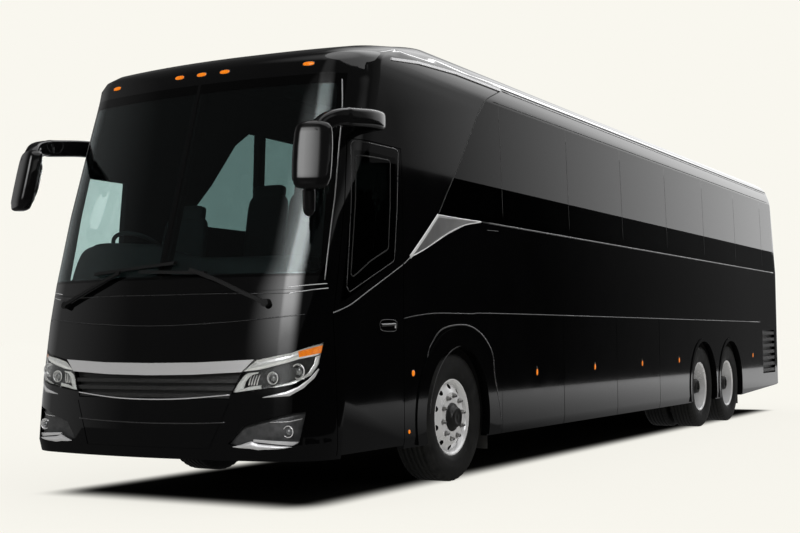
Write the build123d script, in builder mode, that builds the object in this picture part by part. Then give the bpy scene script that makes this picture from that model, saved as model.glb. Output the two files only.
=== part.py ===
"""Three-axle coach bus: hollow body split at its panels, interior, axles, wheels, doors and lamps.

Frame: millimetres, +Z up, the bus faces -Y, +X is its left side.
The origin is on the ground under the middle of its box.
"""
from math import asin, cos, pi, sin, sqrt
import os

from build123d import *

os.makedirs("parts", exist_ok=True)

# ---------------------------------------------------------------- driving dimensions (mm)
length = 13150.0
half_width = 1290.0  # of the side panels
front_overhang = 2215.0  # nose to front axle
wheelbase = 6830.0  # front to drive axle
tag_spread = 1270.0  # drive to tag axle
axle_height = 500.0  # the tyres' radius
wall = 60.0  # side, front and rear walls
glass = 10.0
seam = 6.0  # gap round a door
touch = 0.3  # gap between pieces that seat on each other

nose_y = -length / 2
tail_y = length / 2
front_axle_y = nose_y + front_overhang
drive_axle_y = front_axle_y + wheelbase
tag_axle_y = drive_axle_y + tag_spread

# heights
skirt_z = 320.0
rear_skirt_z = 405.0
bumper_top_z = 700.0
waist_z = 1320.0  # top of the luggage doors
windscreen_z = 1530.0
belt_z = 2068.0
window_top_z = 3095.0
cap_z = 2995.0  # bottom of the roof cap
gutter_z = 3275.0  # seam between side and roof
roof_z = 3450.0
deck_z = 1380.0  # passenger floor

# plan shape
bow_radius = 4600.0  # of the front, seen from above
tail_corner = 180.0

# Body levels, bottom to top: height, nose_back (behind the nose), side_in (inside half_width),
# corner (radius of the front corners), tail_in (ahead of the tail)
BODY_LEVELS = [
    (skirt_z, 16.0, 12.0, 400.0, 14.0),
    (400.0, 0.0, 0.0, 400.0, 0.0),
    (720.0, 28.0, 0.0, 400.0, 0.0),
    (980.0, 62.0, 0.0, 400.0, 0.0),
    (1250.0, 104.0, 0.0, 400.0, 0.0),
    (windscreen_z, 165.0, 0.0, 400.0, 0.0),
    (belt_z, 331.0, 0.0, 360.0, 4.0),
    (cap_z, 615.0, 30.0, 368.0, 108.0),
    (3080.0, 637.0, 34.0, 360.0, 118.0),
    (3145.0, 686.0, 44.0, 360.0, 130.0),
    (3200.0, 790.0, 60.0, 355.0, 144.0),
    (3270.0, 1060.0, 84.0, 320.0, 150.0),
    (3335.0, 1430.0, 124.0, 300.0, 172.0),
    (3380.0, 1640.0, 188.0, 290.0, 240.0),
    (3410.0, 1800.0, 400.0, 290.0, 330.0),
    (3432.0, 1960.0, 640.0, 290.0, 450.0),
    (roof_z, 2350.0, 940.0, 290.0, 800.0),
]


def level_outline(nose_back, side_in, corner, tail_in, inset):
    """One level's plan outline as a closed wire: bow arc, corner arcs, straight sides and a rounded tail."""
    arc_x = half_width - side_in - corner
    bow_centre = nose_y + nose_back + bow_radius
    lean = asin(arc_x / (bow_radius - corner))
    arc_y = bow_centre - (bow_radius - corner) * cos(lean)
    side = half_width - side_in - inset
    back = tail_y - tail_in - inset
    bow = bow_radius - inset
    bend = corner - inset
    half_turn = (pi / 2 - lean) / 2
    start = (bow * sin(lean), bow_centre - bow * cos(lean))
    middle = (arc_x + bend * sin(lean + half_turn), arc_y - bend * cos(lean + half_turn))
    tail_bend = tail_corner - inset
    tail_mid = tail_bend * (1 - sqrt(0.5))
    ThreePointArc((-start[0], start[1]), (0, nose_y + nose_back + inset), start)
    ThreePointArc(start, middle, (side, arc_y))
    Line((side, arc_y), (side, back - tail_bend))
    ThreePointArc((side, back - tail_bend), (side - tail_mid, back - tail_mid), (side - tail_bend, back))
    Line((side - tail_bend, back), (tail_bend - side, back))
    ThreePointArc((tail_bend - side, back), (tail_mid - side, back - tail_mid), (-side, back - tail_bend))
    Line((-side, back - tail_bend), (-side, arc_y))
    ThreePointArc((-side, arc_y), (-middle[0], middle[1]), (-start[0], start[1]))


def body_form(inset=0.0):
    """The bus body as a closed form, `inset` inside its outer skin and open below when inset."""
    with BuildPart() as form:
        for height, nose_back, side_in, corner, tail_in in BODY_LEVELS:
            drop = inset * max(0.0, (height - belt_z) / (roof_z - belt_z))
            base = height - drop - (inset if height == skirt_z else 0.0)
            with BuildSketch(Plane.XY.offset(base)):
                with BuildLine():
                    level_outline(nose_back, side_in, corner, tail_in, inset)
                make_face()
        loft(ruled=True)
    return form.part


def side_prism(points, x_from, x_to, inset=0.0):
    """A block with a YZ outline, drawn in by `inset`, from x_from to x_to."""
    with BuildPart() as block:
        with BuildSketch(Plane.YZ.offset(min(x_from, x_to))):
            with BuildLine():
                Polyline(*points, close=True)
            make_face()
            if inset:
                offset(amount=-inset, kind=Kind.INTERSECTION, mode=Mode.REPLACE)
        extrude(amount=abs(x_to - x_from))
    return block.part


def front_prism(points, y_from, y_to):
    """A block with an XZ outline, from y_from to y_to."""
    with BuildPart() as block:
        with BuildSketch(Plane.XZ.offset(-max(y_from, y_to))):
            with BuildLine():
                Polyline(*points, close=True)
            make_face()
        extrude(amount=abs(y_to - y_from))
    return block.part


def block(x_from, x_to, y_from, y_to, z_from, z_to):
    """A plain box between two corners."""
    with BuildPart() as body:
        with Locations(((x_from + x_to) / 2, (y_from + y_to) / 2, (z_from + z_to) / 2)):
            Box(abs(x_to - x_from), abs(y_to - y_from), abs(z_to - z_from))
    return body.part


def save(part, name):
    """Label a finished piece and write it."""
    part.label = name
    export_step(part, f"parts/{name}.step")


outer_form = body_form()
inner_form = body_form(wall)
pane_form = body_form(glass)
body_shell = outer_form - inner_form
pane_shell = outer_form - pane_form

# ---------------------------------------------------------------- where the panels meet
far = 9000.0  # beyond the body every way
skin_x = 1000.0  # the side walls lie outside this
door_front_y = nose_y + 435.0
door_width = 900.0
door_rear_y = door_front_y + door_width
door_sill_z = 345.0
door_top_z = 2500.0
door_bend_z = 1250.0  # above it the door's front edge leans back with the pillar
pillar_lean = 0.22  # back per up
pillar_top_y = -5750.0
cap_rear_y = nose_y + 3275.0
tail_seam_y = tail_y - 230.0


def pillar_y(height):
    """Y of the door's front edge at a height."""
    return door_front_y + max(0.0, height - door_bend_z) * pillar_lean


front_region = side_prism(
    [(-far, 0), (door_front_y - seam, 0), (door_front_y - seam, door_bend_z),
     (pillar_y(door_top_z) - seam, door_top_z), (pillar_top_y, cap_z), (-far, cap_z)],
    -far, far)
cap_seam = [(pillar_top_y, cap_z), (-5600.0, 3075.0), (-5300.0, 3180.0), (-4870.0, 3235.0),
            (-4210.0, gutter_z)]
cap_region = side_prism([(-far, cap_z), *cap_seam, (cap_rear_y, gutter_z), (cap_rear_y, far), (-far, far)],
                        -far, far)

# windscreen panes, front view
screen_edge_low = 1215.0
screen_edge_high = 1148.0
divider = 24.0
rebate = 25.0  # glass overlap on its frame


def screen_outline(side, grow=0.0):
    """Front-view outline of one windscreen pane."""
    low, high = windscreen_z + 10.0 - grow, cap_z - 10.0 + grow
    return [(side * (divider / 2 - grow), low), (side * (screen_edge_low + grow), low),
            (side * (screen_edge_high + grow), high), (side * (divider / 2 - grow), high)]


screen_depth_y = -5600.0  # behind it the panes' prisms end

with BuildPart() as windscreens:
    for side in (1, -1):
        add(pane_shell & front_region & front_prism(screen_outline(side), -far, screen_depth_y))
save(windscreens.part, "windscreens")

# ---------------------------------------------------------------- front lamps, bar and grille: front-view outlines
lamp_outline = [(827, 981), (1071, 1027), (1226, 1098), (1212, 949), (1180, 874), (1090, 814), (879, 783),
                (679, 759),
                (744, 904)]
bar_outline = [(823, 985), (400, 966), (0, 962), (-400, 966), (-823, 985), (-740, 902), (-360, 884), (0, 879),
               (360, 884), (740, 902)]
grille_outline = [(738, 900), (360, 882), (0, 877), (-360, 882), (-738, 900), (-655, 722), (655, 722)]
fog_outline = [(669, 430), (771, 547), (1008, 615), (1170, 647), (1142, 441), (1107, 421), (886, 394)]
slat_heights = [842.0, 792.0, 742.0]
slat_depth = 26.0
bar_proud = 8.0
recess_depth = 42.0  # of grilles and fog lamps behind the skin
line_depth = 4.0  # of grooves pressed in the skin
line_width = 7.0
lamp_region_y = door_front_y - seam  # behind it the front outlines end


def mirrored(points, side):
    """A front-view outline on one side of the vehicle."""
    return [(side * x, z) for x, z in points]


lamp_prisms = [front_prism(mirrored(lamp_outline, side), -far, lamp_region_y) for side in (1, -1)]
fog_prisms = [front_prism(mirrored(fog_outline, side), -far, lamp_region_y) for side in (1, -1)]
bar_prism = front_prism(bar_outline, -far, lamp_region_y)
grille_prism = front_prism(grille_outline, -far, lamp_region_y)
bar_form = body_form(-bar_proud)
recess_form = body_form(recess_depth)
line_form = body_form(line_depth)
line_shell = outer_form - line_form



def line_outline(points):
    """A groove's front-view outline: a line of points across the front, with the groove's width."""
    return points + [(x, z - line_width) for x, z in reversed(points)]


hood_line = line_outline([(-1130.0, 1275.0), (-600.0, 1232.0), (0.0, 1216.0), (600.0, 1232.0),
                          (1130.0, 1275.0)])
sill_line = line_outline([(-1190.0, 1452.0), (0.0, 1430.0), (1190.0, 1452.0)])
plate_outline = [(-668.0, bumper_top_z), (668.0, bumper_top_z), (536.0, 394.0), (-536.0, 394.0)]
plate_inner = [(-660.0, bumper_top_z), (660.0, bumper_top_z), (530.0, 394.0 + line_width),
               (-530.0, 394.0 + line_width)]
plate_line = line_outline([(-606.0, 566.0), (606.0, 566.0)])

with BuildPart() as front_mask:
    add(body_shell & front_region & block(-far, far, -far, 0, bumper_top_z, cap_z))
    for side in (1, -1):
        add(front_prism(screen_outline(side), -far, screen_depth_y) & pane_shell, mode=Mode.SUBTRACT)
        add(front_prism(screen_outline(side, -rebate), -far, screen_depth_y), mode=Mode.SUBTRACT)
    add(lamp_prisms, mode=Mode.SUBTRACT)
    add(bar_prism, mode=Mode.SUBTRACT)
    add(grille_prism, mode=Mode.SUBTRACT)
    add([line_shell & front_prism(outline, -far, lamp_region_y) for outline in (hood_line, sill_line)],
        mode=Mode.SUBTRACT)
save(front_mask.part, "front_mask")

pivot_inner_x = 1190.0  # the plate that the entrance door's lower hinge pin stands on
pivot_reach = 45.0
with BuildPart() as front_bumper:
    add(body_shell & front_region & block(-far, far, -far, 0, 0, bumper_top_z))
    add(outer_form & block(pivot_inner_x, far, door_front_y - pivot_reach, door_front_y + pivot_reach, 0,
                           door_sill_z - touch))
    add(fog_prisms, mode=Mode.SUBTRACT)
    plate_groove = (front_prism(plate_outline, -far, lamp_region_y)
                    - front_prism(plate_inner, -far, lamp_region_y))
    add(line_shell & plate_groove, mode=Mode.SUBTRACT)
    add(line_shell & front_prism(plate_line, -far, lamp_region_y), mode=Mode.SUBTRACT)
save(front_bumper.part, "front_bumper")

fog_lamp_x = 1080.0
fog_lamp_z = 513.0
fog_lamp_radius = 46.0
fog_blade = [(844.0, 463.0), (1134.0, 448.0), (1124.0, 437.0), (1100.0, 425.0), (844.0, 447.0)]
PROJECTORS = [(949.0, 866.0, 44.0), (1103.0, 906.0, 53.0)]  # x, height, radius
with BuildPart() as front_lamps:
    for side, prism in zip((1, -1), lamp_prisms):
        add(body_shell & prism)
        with BuildPart(mode=Mode.PRIVATE) as rings:
            for x, z, radius in PROJECTORS:
                with BuildSketch(Plane.XZ.offset(-lamp_region_y)):
                    with Locations((side * x, z)):
                        Circle(radius)
                        Circle(radius - line_width, mode=Mode.SUBTRACT)
                extrude(amount=far)
            add(line_shell, mode=Mode.INTERSECT)
        add(rings.part, mode=Mode.SUBTRACT)
    for side, prism in zip((1, -1), fog_prisms):
        with BuildPart(mode=Mode.PRIVATE) as unit:
            add((recess_form - inner_form) & prism)
            with BuildSketch(Plane.XZ.offset(-lamp_region_y)):
                with Locations((side * fog_lamp_x, fog_lamp_z)):
                    Circle(fog_lamp_radius)
            extrude(amount=200)
            add(pane_form - inner_form, mode=Mode.INTERSECT)
        add(unit.part)
save(front_lamps.part, "front_lamps")

with BuildPart() as front_grille:
    add((recess_form - inner_form) & grille_prism)
    for height in slat_heights:
        add((pane_form - inner_form) & grille_prism
            & block(-far, far, -far, 0, height - slat_depth / 2, height + slat_depth / 2))

with BuildPart() as front_bar:
    add((bar_form - inner_form) & bar_prism)

# ---------------------------------------------------------------- roof, cap and tail
with BuildPart() as roof_front_cap:
    add(body_shell & cap_region)
    add(body_shell & block(-skin_x, skin_x, -far, cap_rear_y, cap_z, far))
save(roof_front_cap.part, "roof_front_cap")

with BuildPart() as roof:
    add(body_shell & block(-far, far, cap_rear_y, far, gutter_z, far))
save(roof.part, "roof")

engine_door_half = 900.0
engine_door_low = 560.0
engine_door_high = 1500.0
rear_window_half = 960.0
rear_window_low = 2150.0
rear_window_high = 2940.0
tow_x = 500.0
tow_z = 490.0
tow_radius = 25.0
tail_lamp_in = 1010.0
tail_lamp_out = 1225.0
tail_lamp_low = 1180.0
tail_lamp_high = 1440.0


def rear_region(half, low, high):
    """A block through the rear wall."""
    return block(-half, half, tail_seam_y, far, low, high)


with BuildPart() as tail_lamps:
    for side in (1, -1):
        add(body_shell & block(side * tail_lamp_in, side * tail_lamp_out, tail_seam_y, far, tail_lamp_low,
                               tail_lamp_high))
save(tail_lamps.part, "tail_lamps")

rear_glass = pane_shell & rear_region(rear_window_half, rear_window_low, rear_window_high)
with BuildPart() as rear_wall:
    add(body_shell & block(-far, far, tail_seam_y, far, rear_skirt_z, gutter_z))
    add(rear_region(engine_door_half + seam, engine_door_low - seam, engine_door_high + touch),
        mode=Mode.SUBTRACT)
    add(rear_glass, mode=Mode.SUBTRACT)
    add(rear_region(rear_window_half - rebate, rear_window_low + rebate, rear_window_high - rebate),
        mode=Mode.SUBTRACT)
    add(tail_lamps.part, mode=Mode.SUBTRACT)
    with BuildSketch(Plane.XZ.offset(-far)):
        with Locations((tow_x, tow_z)):
            Circle(tow_radius)
    extrude(amount=far, mode=Mode.SUBTRACT)
save(rear_wall.part, "rear_wall")

with BuildPart() as engine_door:
    add(body_shell & rear_region(engine_door_half, engine_door_low, engine_door_high))
save(engine_door.part, "engine_door")

# ---------------------------------------------------------------- side walls
bay_edges = [-3540.0, -2155.0, -699.0, 710.0, 1837.0]  # luggage door edges along the side
pane_edges = [-3476.0, -1960.0, -441.0, 1085.0, 2615.0, 4132.0, 5600.0, 6280.0]  # side glass joints
pane_front = [(-4670.0, belt_z), (-4285.0, 2494.0), (-3946.0, 2896.0), (-3725.0, window_top_z)]
pane_gap = 6.0
pillar_half = 55.0
front_arch_radius = 556.0
front_flare_radius = 698.0
rear_arch_radius = 556.0
rear_flare_radius = 600.0
flare_proud = 10.0
door_window = [(-6075, 1360), (-5375, 1665), (-5320, 2425), (-5832, 2425)]
vent_front, vent_rear, vent_low, vent_high = 5512.0, 6256.0, 580.0, 1207.0
vent_slats = 7
arch_foot_z = skirt_z + 12.0  # the arches' lips end here
arch_mouth = 0.954  # half mouth of an arch at its foot, in radii
# Wheel arches, front to rear: axle place, arch radius, lip radius
ARCHES = [
    (front_axle_y, front_arch_radius, front_flare_radius),
    (drive_axle_y, rear_arch_radius, rear_flare_radius),
    (tag_axle_y, rear_arch_radius, rear_flare_radius),
]


def arch_disc(axle_y, radius, side, x_from, x_to):
    """A cylinder across the side at an axle."""
    with BuildPart() as disc:
        with BuildSketch(Plane.YZ.offset(min(side * x_from, side * x_to))):
            with Locations((axle_y, axle_height)):
                Circle(radius)
        extrude(amount=abs(x_to - x_from))
    return disc.part


def pane_outlines(shrink=0.0):
    """YZ outlines of one side's panes, each `shrink` inside its joint lines."""
    low, high = belt_z + shrink, window_top_z - shrink
    first = [(y + shrink, z) for y, z in pane_front]
    first[0] = (first[0][0], low)
    first[-1] = (first[-1][0], high)
    outlines = [first + [(pane_edges[0] - pane_gap / 2 - shrink, high),
                         (pane_edges[0] - pane_gap / 2 - shrink, low)]]
    for start, end in zip(pane_edges[:-1], pane_edges[1:]):
        start, end = start + pane_gap / 2 + shrink, end - pane_gap / 2 - shrink
        outlines.append([(start, low), (start, high), (end, high), (end, low)])
    return outlines


with BuildPart() as plain_side:
    add(body_shell & block(skin_x, far, -far, tail_seam_y, 0, gutter_z))
    cutters = [front_region, cap_region, block(skin_x, far, vent_front, vent_rear, vent_low, vent_high)]
    cutters += [side_prism(outline, skin_x, far) & pane_shell for outline in pane_outlines()]
    cutters += [side_prism(outline, skin_x, far) for outline in pane_outlines(pillar_half)]
    tail_rise_y = tag_axle_y + rear_arch_radius
    cutters.append(side_prism([(tail_rise_y, -far), (tail_rise_y, skirt_z), (tail_y, rear_skirt_z),
                               (tail_y, -far)],
                              skin_x, far))
    add(cutters, mode=Mode.SUBTRACT)
    lips = []
    arches = [block(skin_x, far, bay_edges[0], bay_edges[-1], -far, waist_z)]
    for axle_y, arch, lip in ARCHES:
        lips.append(arch_disc(axle_y, lip, 1, half_width - wall, half_width + flare_proud)
                    & block(skin_x, far, -far, far, arch_foot_z, far))
        arches.append(arch_disc(axle_y, arch, 1, skin_x, half_width + 2 * flare_proud))
        arches.append(block(skin_x, far, axle_y - arch * arch_mouth, axle_y + arch * arch_mouth, -far,
                            arch_foot_z))
    add(lips)
    add(arches, mode=Mode.SUBTRACT)

door_hole = [(door_front_y - seam, 0), (door_front_y - seam, door_bend_z),
             (pillar_y(door_top_z) - seam, door_top_z + seam), (door_rear_y + seam + 2, door_top_z + seam),
             (door_rear_y + seam + 2, 0)]
with BuildPart() as side_wall_left:
    add(plain_side.part)
    add(side_prism(door_hole, skin_x, far), mode=Mode.SUBTRACT)
save(side_wall_left.part, "side_wall_left")

with BuildPart() as side_wall_right:
    add(mirror(plain_side.part, about=Plane.YZ, mode=Mode.PRIVATE))
    add(pane_shell & side_prism(door_window, -skin_x, -far), mode=Mode.SUBTRACT)
    add(side_prism(door_window, -skin_x, -far, rebate), mode=Mode.SUBTRACT)
save(side_wall_right.part, "side_wall_right")

with BuildPart() as body_windows:
    for side in (1, -1):
        for outline in pane_outlines():
            add(pane_shell & side_prism(outline, side * skin_x, side * far))
    add(rear_glass)
    add(pane_shell & side_prism(door_window, -skin_x, -far))
save(body_windows.part, "body_windows")

with BuildPart() as grilles:
    add(front_grille.part)
    with BuildPart(mode=Mode.PRIVATE) as vent:
        add((recess_form - inner_form) & block(skin_x, far, vent_front, vent_rear, vent_low, vent_high))
        step = (vent_high - vent_low) / vent_slats
        for row in range(vent_slats):
            low = vent_low + row * step
            add((line_form - inner_form)
                & block(skin_x, far, vent_front, vent_rear, low + 0.25 * step, low + 0.75 * step))
    add(vent.part)
    add(mirror(vent.part, about=Plane.YZ, mode=Mode.PRIVATE))

# ---------------------------------------------------------------- doors
handle_y = -5455.0
handle_z = 1222.0
handle_length = 240.0
with BuildPart() as handle_pocket_form:
    with BuildSketch(Plane.YZ.offset(skin_x)):
        with Locations((handle_y, handle_z)):
            SlotOverall(handle_length, 52.0)
            SlotOverall(handle_length - 50.0, 24.0, mode=Mode.SUBTRACT)
    extrude(amount=far)
    add(outer_form - recess_form, mode=Mode.INTERSECT)
handle_pocket = handle_pocket_form.part

with BuildPart() as entrance_door:
    add(body_shell & side_prism(
        [(door_front_y, door_sill_z), (door_front_y, door_bend_z), (pillar_y(door_top_z), door_top_z),
         (door_rear_y, door_top_z), (door_rear_y, door_sill_z)], skin_x, far))
    add(pane_shell & side_prism(door_window, skin_x, far), mode=Mode.SUBTRACT)
    add(side_prism(door_window, skin_x, far, rebate), mode=Mode.SUBTRACT)
    add(handle_pocket, mode=Mode.SUBTRACT)
save(entrance_door.part, "entrance_door")

with BuildPart() as entrance_door_glass:
    add(pane_shell & side_prism(door_window, skin_x, far))
save(entrance_door_glass.part, "entrance_door_glass")

bay_gap = 10.0  # between luggage doors
for number, (start, end) in enumerate(zip(bay_edges[:-1], bay_edges[1:]), 1):
    with BuildPart() as luggage_door:
        add(body_shell & block(skin_x, far, start + bay_gap / 2, end - bay_gap / 2, 0, waist_z - touch))
    save(luggage_door.part, f"luggage_door_left_{number}")
    save(mirror(luggage_door.part, about=Plane.YZ), f"luggage_door_right_{number}")

# ---------------------------------------------------------------- chassis: floors, bulkheads, housings and rails
inside_x = half_width - wall
deck_thick = 60.0
bay_floor_z = 370.0
bay_floor_thick = 40.0
bulkhead = 40.0
cab_floor_z = 1050.0
cab_floor_thick = 50.0
cab_rear_y = -5060.0
cab_front_y = nose_y + 420.0
step_heights = [400.0, 625.0, 840.0, cab_floor_z]  # the steps and the floor that they lead to
step_tread = 290.0
step_thick = 30.0
step_margin = 10.0  # between the first step and the wall
floor_edge_x = inside_x - step_margin - (len(step_heights) - 1) * step_tread
deck_under_z = deck_z - deck_thick - touch
cab_under_z = cab_floor_z - cab_floor_thick - touch
step_front_y = door_front_y + 60.0
rail_x = 430.0
rail_wide = 80.0
rail_low = 760.0
rail_high = 1000.0
front_housing_radius = 650.0
rear_housing_radius = 580.0
housing_thick = 25.0
housing_inner_x = 560.0
axle_way = 140.0  # half the opening for an axle in a housing
engine_bulkhead_y = 4480.0
tail_inside_y = tail_y - wall - 15.0


def housing(axle_y, radius, side):
    """An arch liner over one wheel, with the plate behind it that reaches the deck."""
    with BuildPart() as liner:
        add(arch_disc(axle_y, radius + housing_thick, side, housing_inner_x, inside_x))
        add(arch_disc(axle_y, radius, side, housing_inner_x + housing_thick, inside_x), mode=Mode.SUBTRACT)
        add(block(side * housing_inner_x, side * inside_x, axle_y - far, axle_y + far, -far, skirt_z + 20.0),
            mode=Mode.SUBTRACT)
        add(block(side * housing_inner_x, side * (housing_inner_x + housing_thick),
                  axle_y - radius - housing_thick, axle_y + radius + housing_thick, axle_height, deck_under_z))
        add(block(0, side * (housing_inner_x + housing_thick + 1.0), axle_y - axle_way, axle_y + axle_way, 0,
                  axle_height + axle_way), mode=Mode.SUBTRACT)
    return liner.part


# The frame's boards and rails stand `touch` apart, each a plain solid
with BuildPart() as chassis_frame:
    add(block(-inside_x, inside_x, cab_rear_y, tail_inside_y, deck_z - deck_thick, deck_z))
    for start, end in zip(bay_edges[:-1], bay_edges[1:]):
        add(block(-inside_x, inside_x, start + bulkhead / 2 + touch, end - bulkhead / 2 - touch,
                  bay_floor_z - bay_floor_thick, bay_floor_z))
    for edge in bay_edges:
        add(block(-inside_x + touch, inside_x - touch, edge - bulkhead / 2, edge + bulkhead / 2,
                  bay_floor_z - bay_floor_thick, deck_under_z))
    for start in (cab_rear_y, engine_bulkhead_y):
        add(block(-inside_x, inside_x, start, start + bulkhead, rail_low, deck_under_z))
    for side in (1, -1):
        rail_runs = [(cab_rear_y + bulkhead, bay_edges[0] - bulkhead / 2),
                     (bay_edges[-1] + bulkhead / 2, engine_bulkhead_y),
                     (engine_bulkhead_y + bulkhead, tail_inside_y + touch)]
        for start, end in rail_runs:
            add(block(side * (rail_x - rail_wide / 2), side * (rail_x + rail_wide / 2), start + touch,
                      end - touch, rail_low, rail_high))
        with BuildPart(mode=Mode.PRIVATE) as front_housing:
            add(housing(front_axle_y, front_housing_radius, side))
            add(block(-far, far, -far, cab_rear_y + bulkhead + touch, -far, far), mode=Mode.SUBTRACT)
        add(front_housing.part)
        for axle_y in (drive_axle_y, tag_axle_y):
            add(housing(axle_y, rear_housing_radius, side))
    add(block(-rail_x - rail_wide / 2, -rail_x + rail_wide / 2, cab_front_y, cab_rear_y - touch, rail_low,
              cab_under_z))
    add(block(-inside_x, floor_edge_x, cab_front_y, cab_rear_y - touch, cab_floor_z - cab_floor_thick,
              cab_floor_z))
    add(block(floor_edge_x - step_thick, floor_edge_x, cab_front_y, cab_rear_y - touch,
              step_heights[0] - step_thick, cab_under_z))
    for row, height in enumerate(step_heights[:-1]):
        step_edge = inside_x - step_margin - row * step_tread
        add(block(step_edge - step_tread + touch, step_edge, step_front_y, cab_rear_y - touch,
                  height - step_thick, height))
    for row, (height, above) in enumerate(zip(step_heights[:-2], step_heights[1:-1])):
        riser_x = inside_x - step_margin - (row + 1) * step_tread
        add(block(riser_x - step_thick, riser_x, step_front_y, cab_rear_y - touch, height - step_thick,
                  above - step_thick - touch))
    add(body_form(wall + touch), mode=Mode.INTERSECT)
save(chassis_frame.part, "chassis_frame")

engine_front_y = 5000.0
engine_rear_y = 6250.0
engine_low = 520.0
engine_high = 1200.0
engine_half = rail_x - rail_wide / 2
with BuildPart() as engine_block:
    add(block(-engine_half, engine_half, engine_front_y, engine_rear_y, engine_low, engine_high))
save(engine_block.part, "engine_block")

# ---------------------------------------------------------------- interior
dash_top_z = 1500.0
dash_front_gap = 90.0
dash_rear_y = -5960.0
dash_right_x = -inside_x + 120.0
dash_left_x = inside_x - 320.0
wheel_centre = (-750.0, -5720.0, 1800.0)
wheel_tilt = 35.0 * pi / 180
wheel_ring_radius = 230.0
wheel_rim_radius = 16.0
hub_radius = 60.0
spoke_width = 34.0
spoke_half = 20.0  # half the hub's depth
column_radius = 28.0
column_length = 520.0
with BuildPart() as dashboard:
    add(block(dash_right_x, dash_left_x, -far, dash_rear_y, cab_floor_z, dash_top_z))
    add(body_form(wall + dash_front_gap), mode=Mode.INTERSECT)
    column = Plane(origin=wheel_centre, x_dir=(1, 0, 0), z_dir=(0, sin(wheel_tilt), cos(wheel_tilt)))
    with BuildSketch(column):
        Circle(column_radius)
    extrude(amount=-column_length)
    with BuildSketch(column):
        Circle(hub_radius)
        Rectangle(2 * wheel_ring_radius, spoke_width)
    extrude(amount=spoke_half, both=True)
    with BuildSketch(Plane(origin=wheel_centre, x_dir=(1, 0, 0), z_dir=column.y_dir)):
        with Locations((wheel_ring_radius, 0)):
            Circle(wheel_rim_radius)
    revolve(axis=Axis(wheel_centre, tuple(column.z_dir)))
save(dashboard.part, "dashboard")

seat_rows = 12
seat_pitch = 780.0
first_seat_y = -4300.0
seat_aisle = 280.0
seat_outer = 1180.0
# Side profile of a seat: back from its front edge, up from its floor
seat_profile = [(120, 0), (330, 0), (330, 300), (520, 330), (680, 1130), (580, 1160), (440, 470), (0, 450),
                (0, 330),
                (120, 300)]
driver_seat_half = 240.0
driver_seat_y = cab_rear_y - 690.0


def seat(x_from, x_to, front_y, floor_z):
    """A seat, or a pair of seats, from its side profile."""
    return side_prism([(front_y + y, floor_z + z) for y, z in seat_profile], x_from, x_to)


with BuildPart() as seats:
    for row in range(seat_rows):
        for side in (1, -1):
            add(seat(side * seat_aisle, side * seat_outer, first_seat_y + row * seat_pitch, deck_z))
    add(seat(wheel_centre[0] - driver_seat_half, wheel_centre[0] + driver_seat_half, driver_seat_y,
             cab_floor_z))
save(seats.part, "seats")

# ---------------------------------------------------------------- wheels
wheel_x = 1110.0  # middle of the outer wheels
twin_spacing = 335.0
tyre_half = 148.0
spindle_radius = 45.0
hand_holes = 10
hand_hole_radius = 20.0
bearing_gap = 0.3
tyre_profile = [(-103.6, 287.3), (-107.6, 298.3), (-124, 298.3), (-138, 330), (-148, 400), (-140, 470),
                (-118, 500),
                (118, 500), (140, 470), (148, 400), (138, 330), (124, 298.3), (107.6, 298.3), (103.6, 287.3)]
front_rim_profile = [(122, 298), (108, 298), (104, 287), (-104, 287), (-108, 298), (-122, 298), (-122, 290),
                     (-110, 274), (58, 270), (92, 205), (104, 190), (104, 120), (-80, 100), (-80, 45),
                     (122, 45),
                     (122, 0), (160, 0), (172, 20), (172, 62), (160, 74), (128, 80), (122, 100), (122, 194),
                     (110, 214), (80, 262), (110, 274), (122, 288)]
dish_rim_profile = [(122, 298), (108, 298), (104, 287), (-104, 287), (-108, 298), (-122, 298), (-122, 290),
                    (-128, 262), (-167.5, 215), (-167.5, 45), (60, 45), (60, 0), (90, 0), (96, 20), (96, 66),
                    (84, 78), (-60, 100), (-140, 112), (-151, 130), (-151, 205), (-112, 252), (-80, 268),
                    (110, 274), (122, 288)]
inner_rim_profile = [(122, 298), (108, 298), (104, 287), (-104, 287), (-108, 298), (-122, 298), (-122, 290),
                     (-110, 274), (80, 268), (112, 252), (151, 205), (151, 45), (167.5, 45), (167.5, 215),
                     (128, 262), (122, 290)]


def wheel_solid(profile, side, centre_x, axle_y):
    """A profile (out along the axle, radius) turned about its axle."""
    hub = (side * centre_x, axle_y, axle_height)
    with BuildPart() as turned:
        with BuildSketch(Plane(origin=hub, x_dir=(side, 0, 0), z_dir=(0, -side, 0))):
            with BuildLine():
                Polyline(*profile, close=True)
            make_face()
        revolve(axis=Axis(hub, (1, 0, 0)))
    return turned.part


def hand_hole_pins(side, centre_x, axle_y, circle_radius, x_from, x_to):
    """The cylinders that cut a rim's ring of hand holes, between two places out along the axle."""
    with BuildPart() as pins:
        with BuildSketch(Plane(origin=(side * (centre_x + x_from), axle_y, axle_height), z_dir=(side, 0, 0))):
            with PolarLocations(circle_radius, hand_holes):
                Circle(hand_hole_radius)
        extrude(amount=x_to - x_from)
    return pins.part


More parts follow.
